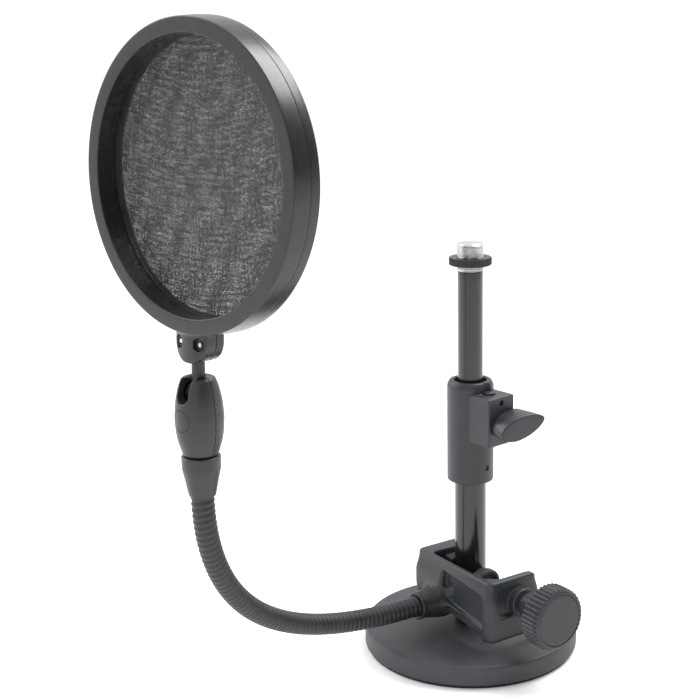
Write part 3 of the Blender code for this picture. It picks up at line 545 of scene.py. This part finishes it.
def wing_knob():
    """A flat oval wing that reaches further one way than the other, with a slanted end face."""
    back, tip, slant, widest = 26.2, 45.5, 0.26, 17.0
    root, brim = 0.06, 0.93         # the shares of its length where its ends' rounding stops and starts
    shares = np.concatenate([np.linspace(0, root, 7), np.linspace(0.1, 0.9, 30),
                             brim + (1 - brim) * np.sin(np.linspace(0, pi / 2, 9))])
    sides = 144
    angle = (np.arange(sides) + 0.5) * tau / sides
    verts, faces = [(back, 0.0, 0.0)], []
    for share in shares:
        first, last = np.clip(1 - share / root, 0, 1), np.clip((share - brim) / (1 - brim), 0, 1)
        inset = 0.8 * (1 - np.sqrt(1 - first ** 2)) + 1.3 * (1 - np.sqrt(1 - last ** 2))
        long, short, high = (np.interp(share, (0, 0.5, 1), sizes) - inset
                             for sizes in ((16.6, 17.1, 17.2), (8.8, 11.4, 12.9), (6.7, 7.0, 7.1)))
        y = np.where(np.cos(angle) > 0, long, short) * np.cos(angle)
        z = high * np.sign(np.sin(angle)) * np.abs(np.sin(angle)) ** (1 + 0.25 * share)
        x = back + share * (tip - (widest - y) * slant - back)
        verts += list(zip(x, y, z))
    verts.append((tip - widest * slant, 0.0, 0.0))
    rows = len(shares)
    for i in range(sides):
        j = (i + 1) % sides
        faces.append((0, 1 + j, 1 + i))
        faces += [(1 + k * sides + i, 1 + k * sides + j, 1 + (k + 1) * sides + j, 1 + (k + 1) * sides + i)
                  for k in range(rows - 1)]
        faces.append((len(verts) - 1 - sides + i, len(verts) - 1 - sides + j, len(verts) - 1))
    return np.array(verts), faces


def build_wing():
    place = CLUTCH @ move(z=CLUTCH_SCREW_Z) @ turn(15, "X")
    piece("clutch_knob_look", wing_knob(), "clutch_plastic", "clutch_handle", ["clutch_knob"], place,
          sharp=40)


# ---------------------------------------------------------------- post clamp

SOCKET = (-4.5, 31.5)               # the gooseneck's socket, in X and Z
SCREW = (0.0, 43.5)                 # the clamp screw, in Y and Z
CLAMP_TOP = 58.2
SPINE_BOTTOM = 26.5
ARM_BOTTOM = 21.8
OUTER = (-28.0, 49.0)               # the clamp's outer faces in X
JAW = (-15.0, 41.5)                 # its jaws' inner faces in X
SPINE_FRONT = -18.0                 # the mouth's floor in Y
KNOB_RADIUS = 18.5
KNOB_FRONT = 82.5


def smooth_step(value):
    """0 below 0, 1 above 1, and an S-curve between."""
    share = np.clip(value, 0, 1)
    return share * share * (3 - 2 * share)


def clamp_block(x, y, z):
    """The bracket's outside: a rounded block that draws in at the top, and below at its -X end."""
    taper = 2.2 * (1 - smooth_step((56.0 - z) / 11.0))
    tuck = 1.8 * smooth_step((38 - z) / 14.0) * smooth_step((20 - x) / 20)
    middle, half_x, half_y, corner = sum(OUTER) / 2, (OUTER[1] - OUTER[0]) / 2, 20.0, 6.0
    across, along = np.abs(x - middle) - (half_x - corner), np.abs(y + 4) - (half_y - corner)
    outside = corner_field(across, along) - corner + taper + tuck
    bottom = SPINE_BOTTOM + (ARM_BOTTOM - SPINE_BOTTOM) * np.clip((x - 8) / 30, 0, 1)
    return smooth_max(outside, np.maximum(z - CLAMP_TOP, (bottom - z) * 0.98), 2.2)


def clamp_hollows(shape, x, y, z):
    """Cuts the hollow in front, the sloping shelf under it and the recess in the +X arm's outer face."""
    lean = (x - 8.0) * 0.10
    hollow = corner_field(3.0 - x, x - 39.5, y + 20.6, z - 50.0 + lean, 34.5 - lean * 1.6 - z)
    shape = smooth_max(shape, -(hollow - 1.2), 2.4)
    lower = corner_field(6.0 - x, x - 40.0, y + 21.8, z - 31.0 + lean, 10.0 - z)
    shape = smooth_max(shape, -(lower - 0.6), 1.6)
    side = corner_field(OUTER[1] - 1.9 - x, -15.5 - y, y - 15.0, z - 52.0, 37.5 - z)
    return smooth_max(shape, -(side - 0.6), 1.8)


def clamp_mouth(shape, x, y, z):
    """Cuts the mouth, with a slanted flat in each inner corner, and rounds the arms' upper tips."""
    mouth = np.maximum(np.abs(x - sum(JAW) / 2) - (JAW[1] - JAW[0]) / 2, SPINE_FRONT - y)
    for at, way, cut in ((JAW[1], 1, 6.0), (JAW[0], -1, 2.0)):
        mouth = smooth_max(mouth, (way * (x - at) - (y - SPINE_FRONT) + cut) * 0.707, 0.8)
    shape = smooth_max(shape, -mouth, 1.8)
    tip = 8.0
    tips = np.hypot(np.maximum(y - tip, 0), np.maximum(z - CLAMP_TOP + tip, 0)) - tip
    return smooth_max(shape, np.where((y > tip) & (z > CLAMP_TOP - tip), tips, -5.0), 0.6)


def clamp_field(p):
    x, y, z = p.T
    shape = clamp_mouth(clamp_hollows(clamp_block(x, y, z), x, y, z), x, y, z)
    # the boss round the screw
    shape = smooth_min(shape, rod_field(p, 0, SCREW, 8.5, 43, 52.0, 0.7), 1.0)
    # the gooseneck's socket, with a web above it
    reach = np.hypot(x - SOCKET[0], z - SOCKET[1])
    cone = 8.1 + 0.35 * np.clip((-36.3 - y) / 0.8, 0, 1) + 2.6 * smooth_step((y + 36.0) / 16.0)
    socket = smooth_max(reach - cone, np.maximum(-38.0 - y, y + 19.0), 0.7)
    shape = smooth_min(shape, socket, 4.0)
    web = box_field(p, (-12.0, -30.0, 37.5), (8.0, -20.0, 41.5), 1.6)
    web = smooth_max(web, (-y - 22.0 - (7.0 - np.abs(x + 4)) * 0.5) * 0.9, 1.5)
    shape = smooth_min(shape, web, 3.0)
    # the bores of both, and the nut's pocket
    shape = smooth_max(shape, -np.maximum(reach - 6.5, np.abs(y + 33) - 7.0), 0.4)
    shape = smooth_max(shape, -rod_field(p, 0, SCREW, 4.3, 36, 60, 0.1), 0.3)
    pocket = np.maximum(hex_field(y, z - SCREW[1], 7.9), np.abs(x - JAW[1]) - 5.2)
    return smooth_max(shape, -pocket, 0.3)


def build_clamp():
    body = surface_net(clamp_field, (-29.5, -39.5, 19), (54, 17.5, 60), 0.6)
    piece("clamp_body_look", body, "clamp_plastic", "clamp", ["clamp_body"], CLAMP, sharp=75)

    def jaw(p):
        shape = box_field(p, (-14.7, -9, 28.5), (-6, 9, 54.2), 0.8)
        return smooth_max(shape, 9.8 - np.hypot(p[:, 0], p[:, 1]), 0.4)
    pad = surface_net(jaw, (-16, -10, 27), (-4.5, 10, 56), 0.4)
    piece("clamp_jaw_pad_look", pad, "clamp_rubber", "clamp", ["clamp_jaw_pad"], CLAMP, sharp=70)

    axis = CLAMP @ move(z=SCREW[1]) @ ALONG_X
    foot = rounded([(0, 9.85, 0), (8, 9.85, 0.7), (8, 13.3, 0.2), (9, 14.1, 0.4), (9, 17.2, 0.6),
                    (8.2, 18.4, 0.3), (6.6, 18.4, 0.3), (5.4, 16.1, 0), (3.5, 16.1, 0), (3.5, 11.9, 0),
                    (0, 11.9, 0)])
    piece("clamp_pressure_pad_look", turned(fine(foot, 0.8), 96), "clamp_rubber", "clamp_pad",
          ["clamp_pressure_pad"], axis)
    crest, end = 4.0, KNOB_FRONT - 3.0
    profile = rounded([(0, 12.3, 0), (3.1, 12.3, 0.3), (3.1, 18.8, 0), (crest, 19.8, 0), (crest, end, 0.2),
                       (0, end, 0)])
    screw = turned(fine(profile, 0.16), 72, thread(1.25, 0.55, 20.0, 66.0, crest))
    piece("clamp_screw_look", screw, "zinc_steel", "clamp_handle", ["clamp_screw"], axis, sharp=50)

    def ribs(radius, height, angle):
        wave = 0.5 - 0.5 * np.cos(40 * angle)
        share = np.clip((radius - 16.6) / 1.4, 0, 1)
        return radius - 1.25 * share * (1 - wave ** 0.5)
    rim, front = KNOB_RADIUS, KNOB_FRONT
    knob = rounded([(4.3, 54.5, 0.2), (7.2, 54.5, 0.6), (7.6, 68.9, 0.8), (15.6, 69.5, 0.6),
                    (rim, 70.7, 0.6), (rim, 80.4, 0.9), (rim - 1.1, front - 0.5, 0.7), (15.9, front, 0.5),
                    (15.3, 82.25, 0.2), (15.1, 81.1, 0), (4.3, 81.1, 0)], closed=True)
    ribbed = turned(fine(knob, 0.7, True), 640, ribs, closed=True)
    piece("clamp_knob_look", ribbed, "clamp_plastic", "clamp_handle", ["clamp_knob"], axis, sharp=45)
    disc = rounded([(0, 81.5, 0), (14.95, 81.5, 0), (15.08, 82.2, 0.1), (13.6, 82.45, 0.8), (0, 82.7, 0)])
    piece("clamp_knob_cap_look", turned(fine(disc, 1.2), 160), "clamp_plastic", "clamp_handle",
          ["clamp_knob_cap"], axis)


# ---------------------------------------------------------------- gooseneck

NECK_RADIUS = 6.1
RIDGE_PITCH = 3.3
RIDGE_DEPTH = 0.42
RING_STEP = 0.3
SKIN_SIDES = 48


def neck_path():
    """Places along the neck's curve, RING_STEP apart, from inside the socket to inside the collar.

    Gives the lengths so far, the points, the directions along the neck and the directions to its side.
    """
    start = CLAMP @ Vector((SOCKET[0], -38, SOCKET[1]))
    heading = (CLAMP.to_3x3() @ Vector((0, -1, 0))).normalized()
    end, rise = Vector((-13, -197, 146)), Vector((0, 0, 1))
    handles = [np.array(v) for v in (start, start + 106 * heading, end - 61 * rise, end)]
    t = np.linspace(0, 1, 4001)[:, None]
    curve = sum(c * (1 - t) ** (3 - k) * t ** k * h for k, (c, h) in enumerate(zip((1, 3, 3, 1), handles)))
    before = handles[0] - np.array(heading) * np.linspace(8, 0.1, 80)[:, None]
    after = handles[3] + np.array(rise) * np.linspace(0.1, 6.5, 65)[:, None]
    curve = np.concatenate([before, curve, after])
    length = np.concatenate([[0], np.cumsum(np.linalg.norm(np.diff(curve, axis=0), axis=1))])
    steps = np.arange(0, length[-1], RING_STEP)
    points = np.stack([np.interp(steps, length, curve[:, k]) for k in range(3)], -1)
    along = np.gradient(points, axis=0)
    along /= np.linalg.norm(along, axis=1, keepdims=True)
    side = np.array((1.0, 0.0, 0.0))
    sides = []
    for direction in along:
        side = side - direction * (side @ direction)
        side = side / np.linalg.norm(side)
        sides.append(side)
    return steps, points, along, np.array(sides)


def build_neck():
    steps, points, along, across = neck_path()
    up = np.cross(along, across)
    angle = np.arange(SKIN_SIDES) * tau / SKIN_SIDES
    place = (steps[:, None] / RIDGE_PITCH - angle[None] / tau) % 1.0
    ridge = 0.5 - 0.5 * np.cos(tau * place)
    radius = NECK_RADIUS - RIDGE_DEPTH + RIDGE_DEPTH * ridge ** 0.8
    rings = (points[:, None] + radius[..., None] * (
        np.cos(angle)[None, :, None] * across[:, None] + np.sin(angle)[None, :, None] * up[:, None]))
    joints = []
    for k in range(9):
        # bends and sways take turns along the neck, and the first of each has no number
        number = f"_{k // 2 + 1}" if k > 1 else ""
        place = JOINT_PLACES[("gooseneck_sway" if k % 2 else "gooseneck_bend") + number]
        joints.append(int(np.argmin(np.linalg.norm(points - place / MM, axis=1))))
    cuts = [0] + [(a + b) // 2 for a, b in zip(joints, joints[1:])] + [len(steps) - 1]
    for k, at in enumerate(joints):
        low, high = cuts[k], cuts[k + 1]
        verts = rings[low:high + 1].reshape(-1, 3)
        faces = []
        rows = high - low + 1
        for row in range(rows - 1):
            for i in range(SKIN_SIDES):
                j = (i + 1) % SKIN_SIDES
                a = row * SKIN_SIDES
                faces.append((a + i, a + j, a + SKIN_SIDES + j, a + SKIN_SIDES + i))
        faces.append(tuple(range(SKIN_SIDES)))
        faces.append(tuple((rows - 1) * SKIN_SIDES + i for i in range(SKIN_SIDES)))
        nodes = [f"gooseneck_link_{k + 1}"] if k < 8 else []
        skin = piece(f"gooseneck_skin_{k + 1}", (verts, faces), "neck_steel", None, nodes, sharp=80)
        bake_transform(skin)


# ---------------------------------------------------------------- swivel

def shell_radius(height):
    """The swivel shell's radius at a height above the ball's centre."""
    at = (-32.4, -29.7, -25.2, -20.5, -12.5, -4.6, 1.0, 5.0, 8.4)
    radii = (9.1, 9.75, 11.2, 12.1, 12.6, 11.95, 10.9, 9.75, 8.3)
    smooth = np.zeros_like(height)
    for shift in np.linspace(-1.6, 1.6, 5):
        smooth += np.interp(height + shift, at, radii) / 5
    return smooth


def shell_field(side):
    """Half of the barrel-shaped shell: the front one for side -1, the rear one for side 1."""
    def field(p):
        x, y, z = p.T
        across = np.hypot(x, y)
        shape = smooth_max(across - shell_radius(z), np.maximum(-32.0 - z, z - 8.0), 1.3)
        shape = smooth_max(shape, side * -y + 0.12, 0.25)
        shape = smooth_max(shape, -ball_field(p, (0, 0, 0), 7.1), 0.3)
        hole = np.where(z > 0, across - 4.35, 10.0)
        shape = smooth_max(shape, -hole, 0.5)
        cup = ball_field(p, (0, 0, 10.6), 6.0)
        shape = smooth_max(shape, -cup, 0.6)
        shape = smooth_max(shape, -np.maximum(across - 3.3, z + 26.9), 0.3)
        from_screw = np.hypot(x, z - SWIVEL_SCREW_Z)
        shape = smooth_max(shape, -(from_screw - 1.8), 0.3)
        if side < 0:
            slot = np.where(z > 0, np.abs(x), np.hypot(x, z)) - 3.95
            shape = smooth_max(shape, -np.maximum(slot, y - 0.5), 0.8)
            seat = np.maximum(from_screw - 5.62, y + 10.6)
            shape = smooth_max(shape, -seat, 0.2)
            pocket = np.maximum(hex_field(x, z - SWIVEL_SCREW_Z, 3.4), y + 7.4)
            shape = smooth_max(shape, -pocket, 0.2)
        else:
            seat = np.maximum(from_screw - 3.2, 8.2 - y)
            shape = smooth_max(shape, -seat, 0.3)
        return shape
    return field


def build_swivel():
    collar = rounded([(0, -47, 0), (6.2, -47, 0), (6.2, -53.9, 0.2), (6.9, -54, 0.3), (7.25, -52.5, 1),
                      (8.5, -46, 3), (9.95, -39.6, 3), (10.05, -37, 1), (10.05, -33.2, 0.5),
                      (9.6, -32.7, 0.2), (3.4, -32.7, 0.2), (3.4, -40.7, 0), (0, -40.7, 0)])
    mesh = turned(fine(collar, 0.8), 128)
    piece("swivel_collar_look", mesh, "swivel_plastic", "collar", ["swivel_collar"], BALL)
    for name, side in (("front", -1), ("rear", 1)):
        low, high = ((-14, -14, -33), (14, 0.4, 9)) if side < 0 else ((-14, -0.4, -33), (14, 14, 9))
        mesh = surface_net(shell_field(side), low, high, 0.34)
        node = f"swivel_shell_{name}"
        piece(f"{node}_look", mesh, "swivel_plastic", "swivel", [node], BALL, sharp=60)

    def cap(p):
        x, y, z = p.T
        outside = np.hypot(x, y) - shell_radius(z) + 0.03
        shape = smooth_max(outside, np.hypot(x, z - SWIVEL_SCREW_Z) - 5.5, 0.18)
        return smooth_max(shape, y + 10.9, 0.1)
    mesh = surface_net(cap, (-6.2, -13.4, -18.6), (6.2, -10.3, -6.2), 0.2)
    piece("swivel_cap_look", mesh, "swivel_plastic", "swivel", ["swivel_cap"], BALL, sharp=60)
    # the ball, with a flat on top and a bore for the rod
    radius, flat, bore = 6.6, 5.6, 3.75
    sphere = [(radius * sin(pi * k / 48), -radius * cos(pi * k / 48)) for k in range(49)]
    outline = [(r, h) for r, h in sphere if h < flat] + [(bore, flat), (bore, 0.2), (0, 0.2)]
    outline[0] = (0, -radius)
    piece("swivel_ball_look", turned(outline, 96), "dark_steel", "ball", ["swivel_ball"], HOOP)


# ---------------------------------------------------------------- hoop

LUG_CORNER = 10.8                   # the radius of its lower corners
LUG_HALF_WIDTH = 11.6
LUG_BOTTOM = -92.2


def lug_plan(x, z):
    """The lug's outline. z is measured from the hoop's centre."""
    across = np.abs(x) - (LUG_HALF_WIDTH - LUG_CORNER)
    down = LUG_BOTTOM + LUG_CORNER - z
    return corner_field(across, down) - LUG_CORNER


def ring_field(p, radius, front, back, soft):
    """The ring out to a radius, a little inside the turned one, so that the lug can flow into it."""
    bore = HOOP_BORE + 0.2
    across = np.abs(np.hypot(p[:, 0], p[:, 2]) - (bore + radius) / 2)
    along = np.abs(p[:, 1] - (front + back) / 2)
    return corner_field(across - ((radius - bore) / 2 - soft), along - ((back - front) / 2 - soft)) - soft


def lug_cuts(shape, p, side):
    """The lug's field less its rod bore, screw holes and pockets: hexagonal in front, round behind."""
    x, y, z = p.T
    shape = smooth_max(shape, -np.maximum(np.hypot(x, y) - 3.75, z + 74.3), 0.3)
    shape = smooth_max(shape, np.abs(x) - 15.0, 0.3)
    shape = smooth_max(shape, z + 68.0, 0.3)
    for at in (-LUG_SCREW_X, LUG_SCREW_X):
        from_screw = np.hypot(x - at, z - LUG_SCREW_Z)
        shape = smooth_max(shape, -(from_screw - 1.7), 0.2)
        if side < 0:
            pocket = np.maximum(hex_field(x - at, z - LUG_SCREW_Z, 3.55), y + 4.2)
        else:
            pocket = np.maximum(from_screw - 3.2, 5.6 - y)
        shape = smooth_max(shape, -pocket, 0.35)
    return shape


def lug_front(p):
    """The front half of the lug, flowing into a short stretch of the ring."""
    x, y, z = p.T
    face = -7.2 + 2.4 * (x / 11.5) ** 2
    lug = smooth_max(lug_plan(x, z), (face - y) * 0.93, 1.1)
    lug = smooth_max(lug, z + 70.5, 0.3)
    ring = ring_field(p, 77.0, -7.85, 1.6, 0.9)
    shape = smooth_min(lug, ring, 1.7)
    shape = smooth_max(shape, y - 1.8, 0.3)
    return lug_cuts(shape, p, -1)


def lug_rear(p):
    """The rear half of the lug."""
    x, y, z = p.T
    lug = smooth_max(lug_plan(x, z), y - 7.4, 1.0)
    lug = smooth_max(lug, z + 70.5, 0.3)
    ring = ring_field(p, 76.7, 2.3, 7.85, 0.9)
    shape = smooth_min(lug, ring, 1.0)
    shape = smooth_max(shape, 2.1 - y, 0.3)
    return lug_cuts(shape, p, 1)


def hex_nut(x):
    """A chamfered hexagonal nut in a front pocket."""
    def nut(p):
        u, y, z = p[:, 0] - x, p[:, 1], p[:, 2] - LUG_SCREW_Z
        shape = smooth_max(hex_field(u, z, 2.9), np.abs(y + 4.9) - 0.6, 0.1)
        shape = smooth_max(shape, (np.hypot(u, z) - 2.7 - (y + 5.5) * 1.2) * 0.7, 0.1)
        return smooth_max(shape, 1.7 - np.hypot(u, z), 0.1)
    return surface_net(nut, (x - 3.8, -6.0, -85.8), (x + 3.8, -3.9, -78.2), 0.18)


def build_hoop():
    # both halves are turned rings, each joined by its half of the lug
    bore, rim, half = HOOP_BORE, HOOP_OUTSIDE, HOOP_HALF_DEPTH
    front = rounded([(bore, -half, 0.5), (rim - 0.85, -half, 0.7), (rim, 1.8, 0.25), (72.6, 1.8, 0),
                     (72.6, 2.7, 0), (bore, 2.7, 0.1)], closed=True)
    lathe = placed(turned(fine(front, 3.0, True), 512, closed=True), ALONG_Y)
    lug = surface_net(lug_front, (-16.5, -9, -93.5), (16.5, 3, -66.5), 0.36)
    piece("hoop_front_look", joined(lathe, lug), "hoop_plastic", "hoop", ["hoop_front"], HOOP_MIDDLE,
          sharp=50)
    rear = rounded([(72.9, 2.1, 0), (rim - 0.2, 2.1, 0.3), (rim, half, 0.7), (bore, half, 0.5),
                    (bore, 6.7, 0), (72.9, 6.7, 0)], closed=True)
    lathe = placed(turned(fine(rear, 3.0, True), 512, closed=True), ALONG_Y)
    lug = surface_net(lug_rear, (-16.5, 1, -93.5), (16.5, 9, -66.5), 0.36)
    piece("hoop_rear_look", joined(lathe, lug), "hoop_plastic", "hoop", ["hoop_rear"], HOOP_MIDDLE, sharp=50)
    rod = rounded([(0, 0.3, 0), (3.45, 0.3, 0.3), (3.45, 33.4, 0.3), (0, 33.4, 0)])
    piece("hoop_rod_look", turned(fine(rod, 1.0), 64), "rod_plastic", "hoop", ["hoop_rod"], HOOP)
    outline = rounded([(0, -5.1, 0), (1.1, -5.1, 0.1), (1.4, -4.8, 0), (1.4, 5.9, 0), (2.8, 5.9, 0.1),
                       (2.8, 6.7, 0.7), (1.2, 7.3, 0.3), (1.0, 6.7, 0), (0, 6.7, 0)])
    screw = turned(fine(outline, 0.5), 48)
    for number, x in ((1, -LUG_SCREW_X), (2, LUG_SCREW_X)):
        node = f"lug_nut_{number}"
        piece(f"{node}_look", hex_nut(x), "dark_steel", "hoop", [node], HOOP_MIDDLE, sharp=30)
        node = f"lug_screw_{number}"
        piece(f"{node}_look", screw, "zinc_steel", "hoop", [node],
              HOOP_MIDDLE @ move(x=x, z=LUG_SCREW_Z) @ ALONG_Y)


def mesh_disc(height, seed):
    """A flat disc of cloth whose surface wanders by less than 0.2 mm."""
    draw = np.random.default_rng(seed)
    waves = draw.uniform(-0.25, 0.25, (6, 2))
    phase = draw.uniform(0, tau, 6)

    def lie(x, z):
        edge = 1 - (x * x + z * z) / MESH_RADIUS ** 2
        return height + 0.03 * edge * sum(np.sin(u * x + v * z + f) for (u, v), f in zip(waves, phase))
    sides, rows = 180, 30
    verts, faces = [(0.0, lie(0.0, 0.0), 0.0)], []
    for k in range(1, rows + 1):
        for i in range(sides):
            radius, angle = MESH_RADIUS * k / rows, tau * i / sides
            x, z = radius * cos(angle), radius * sin(angle)
            verts.append((x, lie(x, z), z))
    for i in range(sides):
        j = (i + 1) % sides
        faces.append((0, 1 + i, 1 + j))
        for k in range(rows - 1):
            a = 1 + k * sides
            faces.append((a + i, a + j, a + sides + j, a + sides + i))
    return np.array(verts), faces


def build_mesh():
    for number, (name, height) in enumerate((("mesh_front", 3.2), ("mesh_rear", 6.1))):
        disc = piece(f"{name}_look", mesh_disc(height, number), f"{name}_cloth", "hoop", [name], HOOP_MIDDLE)


# ---------------------------------------------------------------- stage

def build_stage():
    data = bpy.data.meshes.new("floor")
    reach, rows = 30.0, 24
    across = rows + 1
    step = 2 * reach / rows
    verts = [(-reach + i * step, -reach + j * step, 0.0) for j in range(across) for i in range(across)]
    starts = [j * across + i for j in range(rows) for i in range(rows)]
    faces = [(a, a + 1, a + across + 1, a + across) for a in starts]
    data.from_pydata(verts, [], faces)
    floor = bpy.data.objects.new("floor", data)
    bpy.context.scene.collection.objects.link(floor)
    look = Recipe("floor_look")
    look.colours(look.ranged(look.noise(6.0, 3.0), 0, 1), (0.90, 0.90, 0.90), (0.93, 0.93, 0.93))
    look.shader.inputs["Roughness"].default_value = 0.9
    look.shader.inputs["Specular IOR Level"].default_value = 0.1
    look.shader.inputs["Emission Color"].default_value = (1.0, 1.0, 1.0, 1.0)
    look.shader.inputs["Emission Strength"].default_value = 0.16
    data.materials.append(look.made)


def soft_light(name, place, aim, size, power):
    """A rectangular light, aimed at a point."""
    data = bpy.data.lights.new(name, "AREA")
    data.shape = "RECTANGLE"
    data.size, data.size_y = size
    data.energy = power
    light = bpy.data.objects.new(name, data)
    light.location = place
    light.rotation_euler = (Vector(aim) - Vector(place)).to_track_quat("-Z", "Y").to_euler()
    bpy.context.scene.collection.objects.link(light)


def build_lights():
    """A white world that fades to dark on the +X side, except to the camera, and two soft lights."""
    towards_dark = (1.0, 0.05, 0.0)
    bright, dark = 1.12, 0.10
    world = bpy.data.worlds.new("studio")
    bpy.context.scene.world = world
    world.use_nodes = True
    nodes, links = world.node_tree.nodes, world.node_tree.links
    sky = nodes["Background"]
    place = nodes.new("ShaderNodeTexCoord")
    dot = nodes.new("ShaderNodeVectorMath")
    dot.operation = "DOT_PRODUCT"
    dot.inputs[1].default_value = towards_dark
    fall = nodes.new("ShaderNodeMapRange")
    fall.interpolation_type = "SMOOTHSTEP"
    fall.inputs["From Min"].default_value = 0.50
    fall.inputs["From Max"].default_value = 0.80
    fall.inputs["To Min"].default_value = bright
    fall.inputs["To Max"].default_value = dark
    links.new(place.outputs["Generated"], dot.inputs[0])
    links.new(dot.outputs["Value"], fall.inputs["Value"])
    rays = nodes.new("ShaderNodeLightPath")
    pick = nodes.new("ShaderNodeMath")
    pick.operation = "MAXIMUM"
    links.new(rays.outputs["Is Camera Ray"], pick.inputs[0])
    links.new(fall.outputs["Result"], pick.inputs[1])
    links.new(pick.outputs["Value"], sky.inputs["Strength"])
    sky.inputs["Color"].default_value = (0.97, 0.985, 1.0, 1.0)
    soft_light("back_light", (0.28, 0.75, 1.6), (0, -0.15, 0.25), (1.0, 0.8), 24)
    soft_light("left_light", (-1.2, -0.5, 1.0), (0, -0.1, 0.2), (0.7, 1.1), 9)


def build_camera():
    place = (0.5398, -0.6500, 0.3989)
    forward = Vector((-0.6565, 0.7261, -0.2045)).normalized()
    roll = -0.0092
    right = forward.cross(Vector((0, 0, 1))).normalized()
    up = right.cross(forward)
    axis_x = right * cos(roll) + up * sin(roll)
    axis_y = up * cos(roll) - right * sin(roll)
    data = bpy.data.cameras.new("camera")
    data.lens, data.sensor_width = 75.3, 36.0
    data.shift_x = data.shift_y = -0.0857
    camera = bpy.data.objects.new("camera", data)
    facing = Matrix((axis_x, axis_y, -forward)).transposed().to_4x4()
    camera.matrix_world = Matrix.Translation(place) @ facing
    bpy.context.scene.collection.objects.link(camera)
    bpy.context.scene.camera = camera
    bpy.context.scene.view_settings.view_transform = "Standard"


def joint_places():
    """Each joint's point at rest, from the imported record."""
    found = {}
    for joint in frame["record"]["behaviour"]["joints"]:
        if "pos_m" in joint:
            found[joint["name"]] = np.array(joint["pos_m"], float)
    return found


def keep_cad_looks():
    """Every CAD node takes its slot's material, which shows where no piece stands for it."""
    for row in frame["record"]["subparts"]:
        node = frame["nodes"].get(row["node"])
        if node is None:
            continue
        for holder in node.material_slots:
            holder.material = LOOKS[row["material_slot"]]


JOINT_PLACES = joint_places()
keep_cad_looks()
build_base()
build_tubes()
build_top()
build_clutch()
build_wing()
build_clamp()
build_neck()
build_swivel()
build_hoop()
build_mesh()
build_stage()
build_lights()
build_camera()
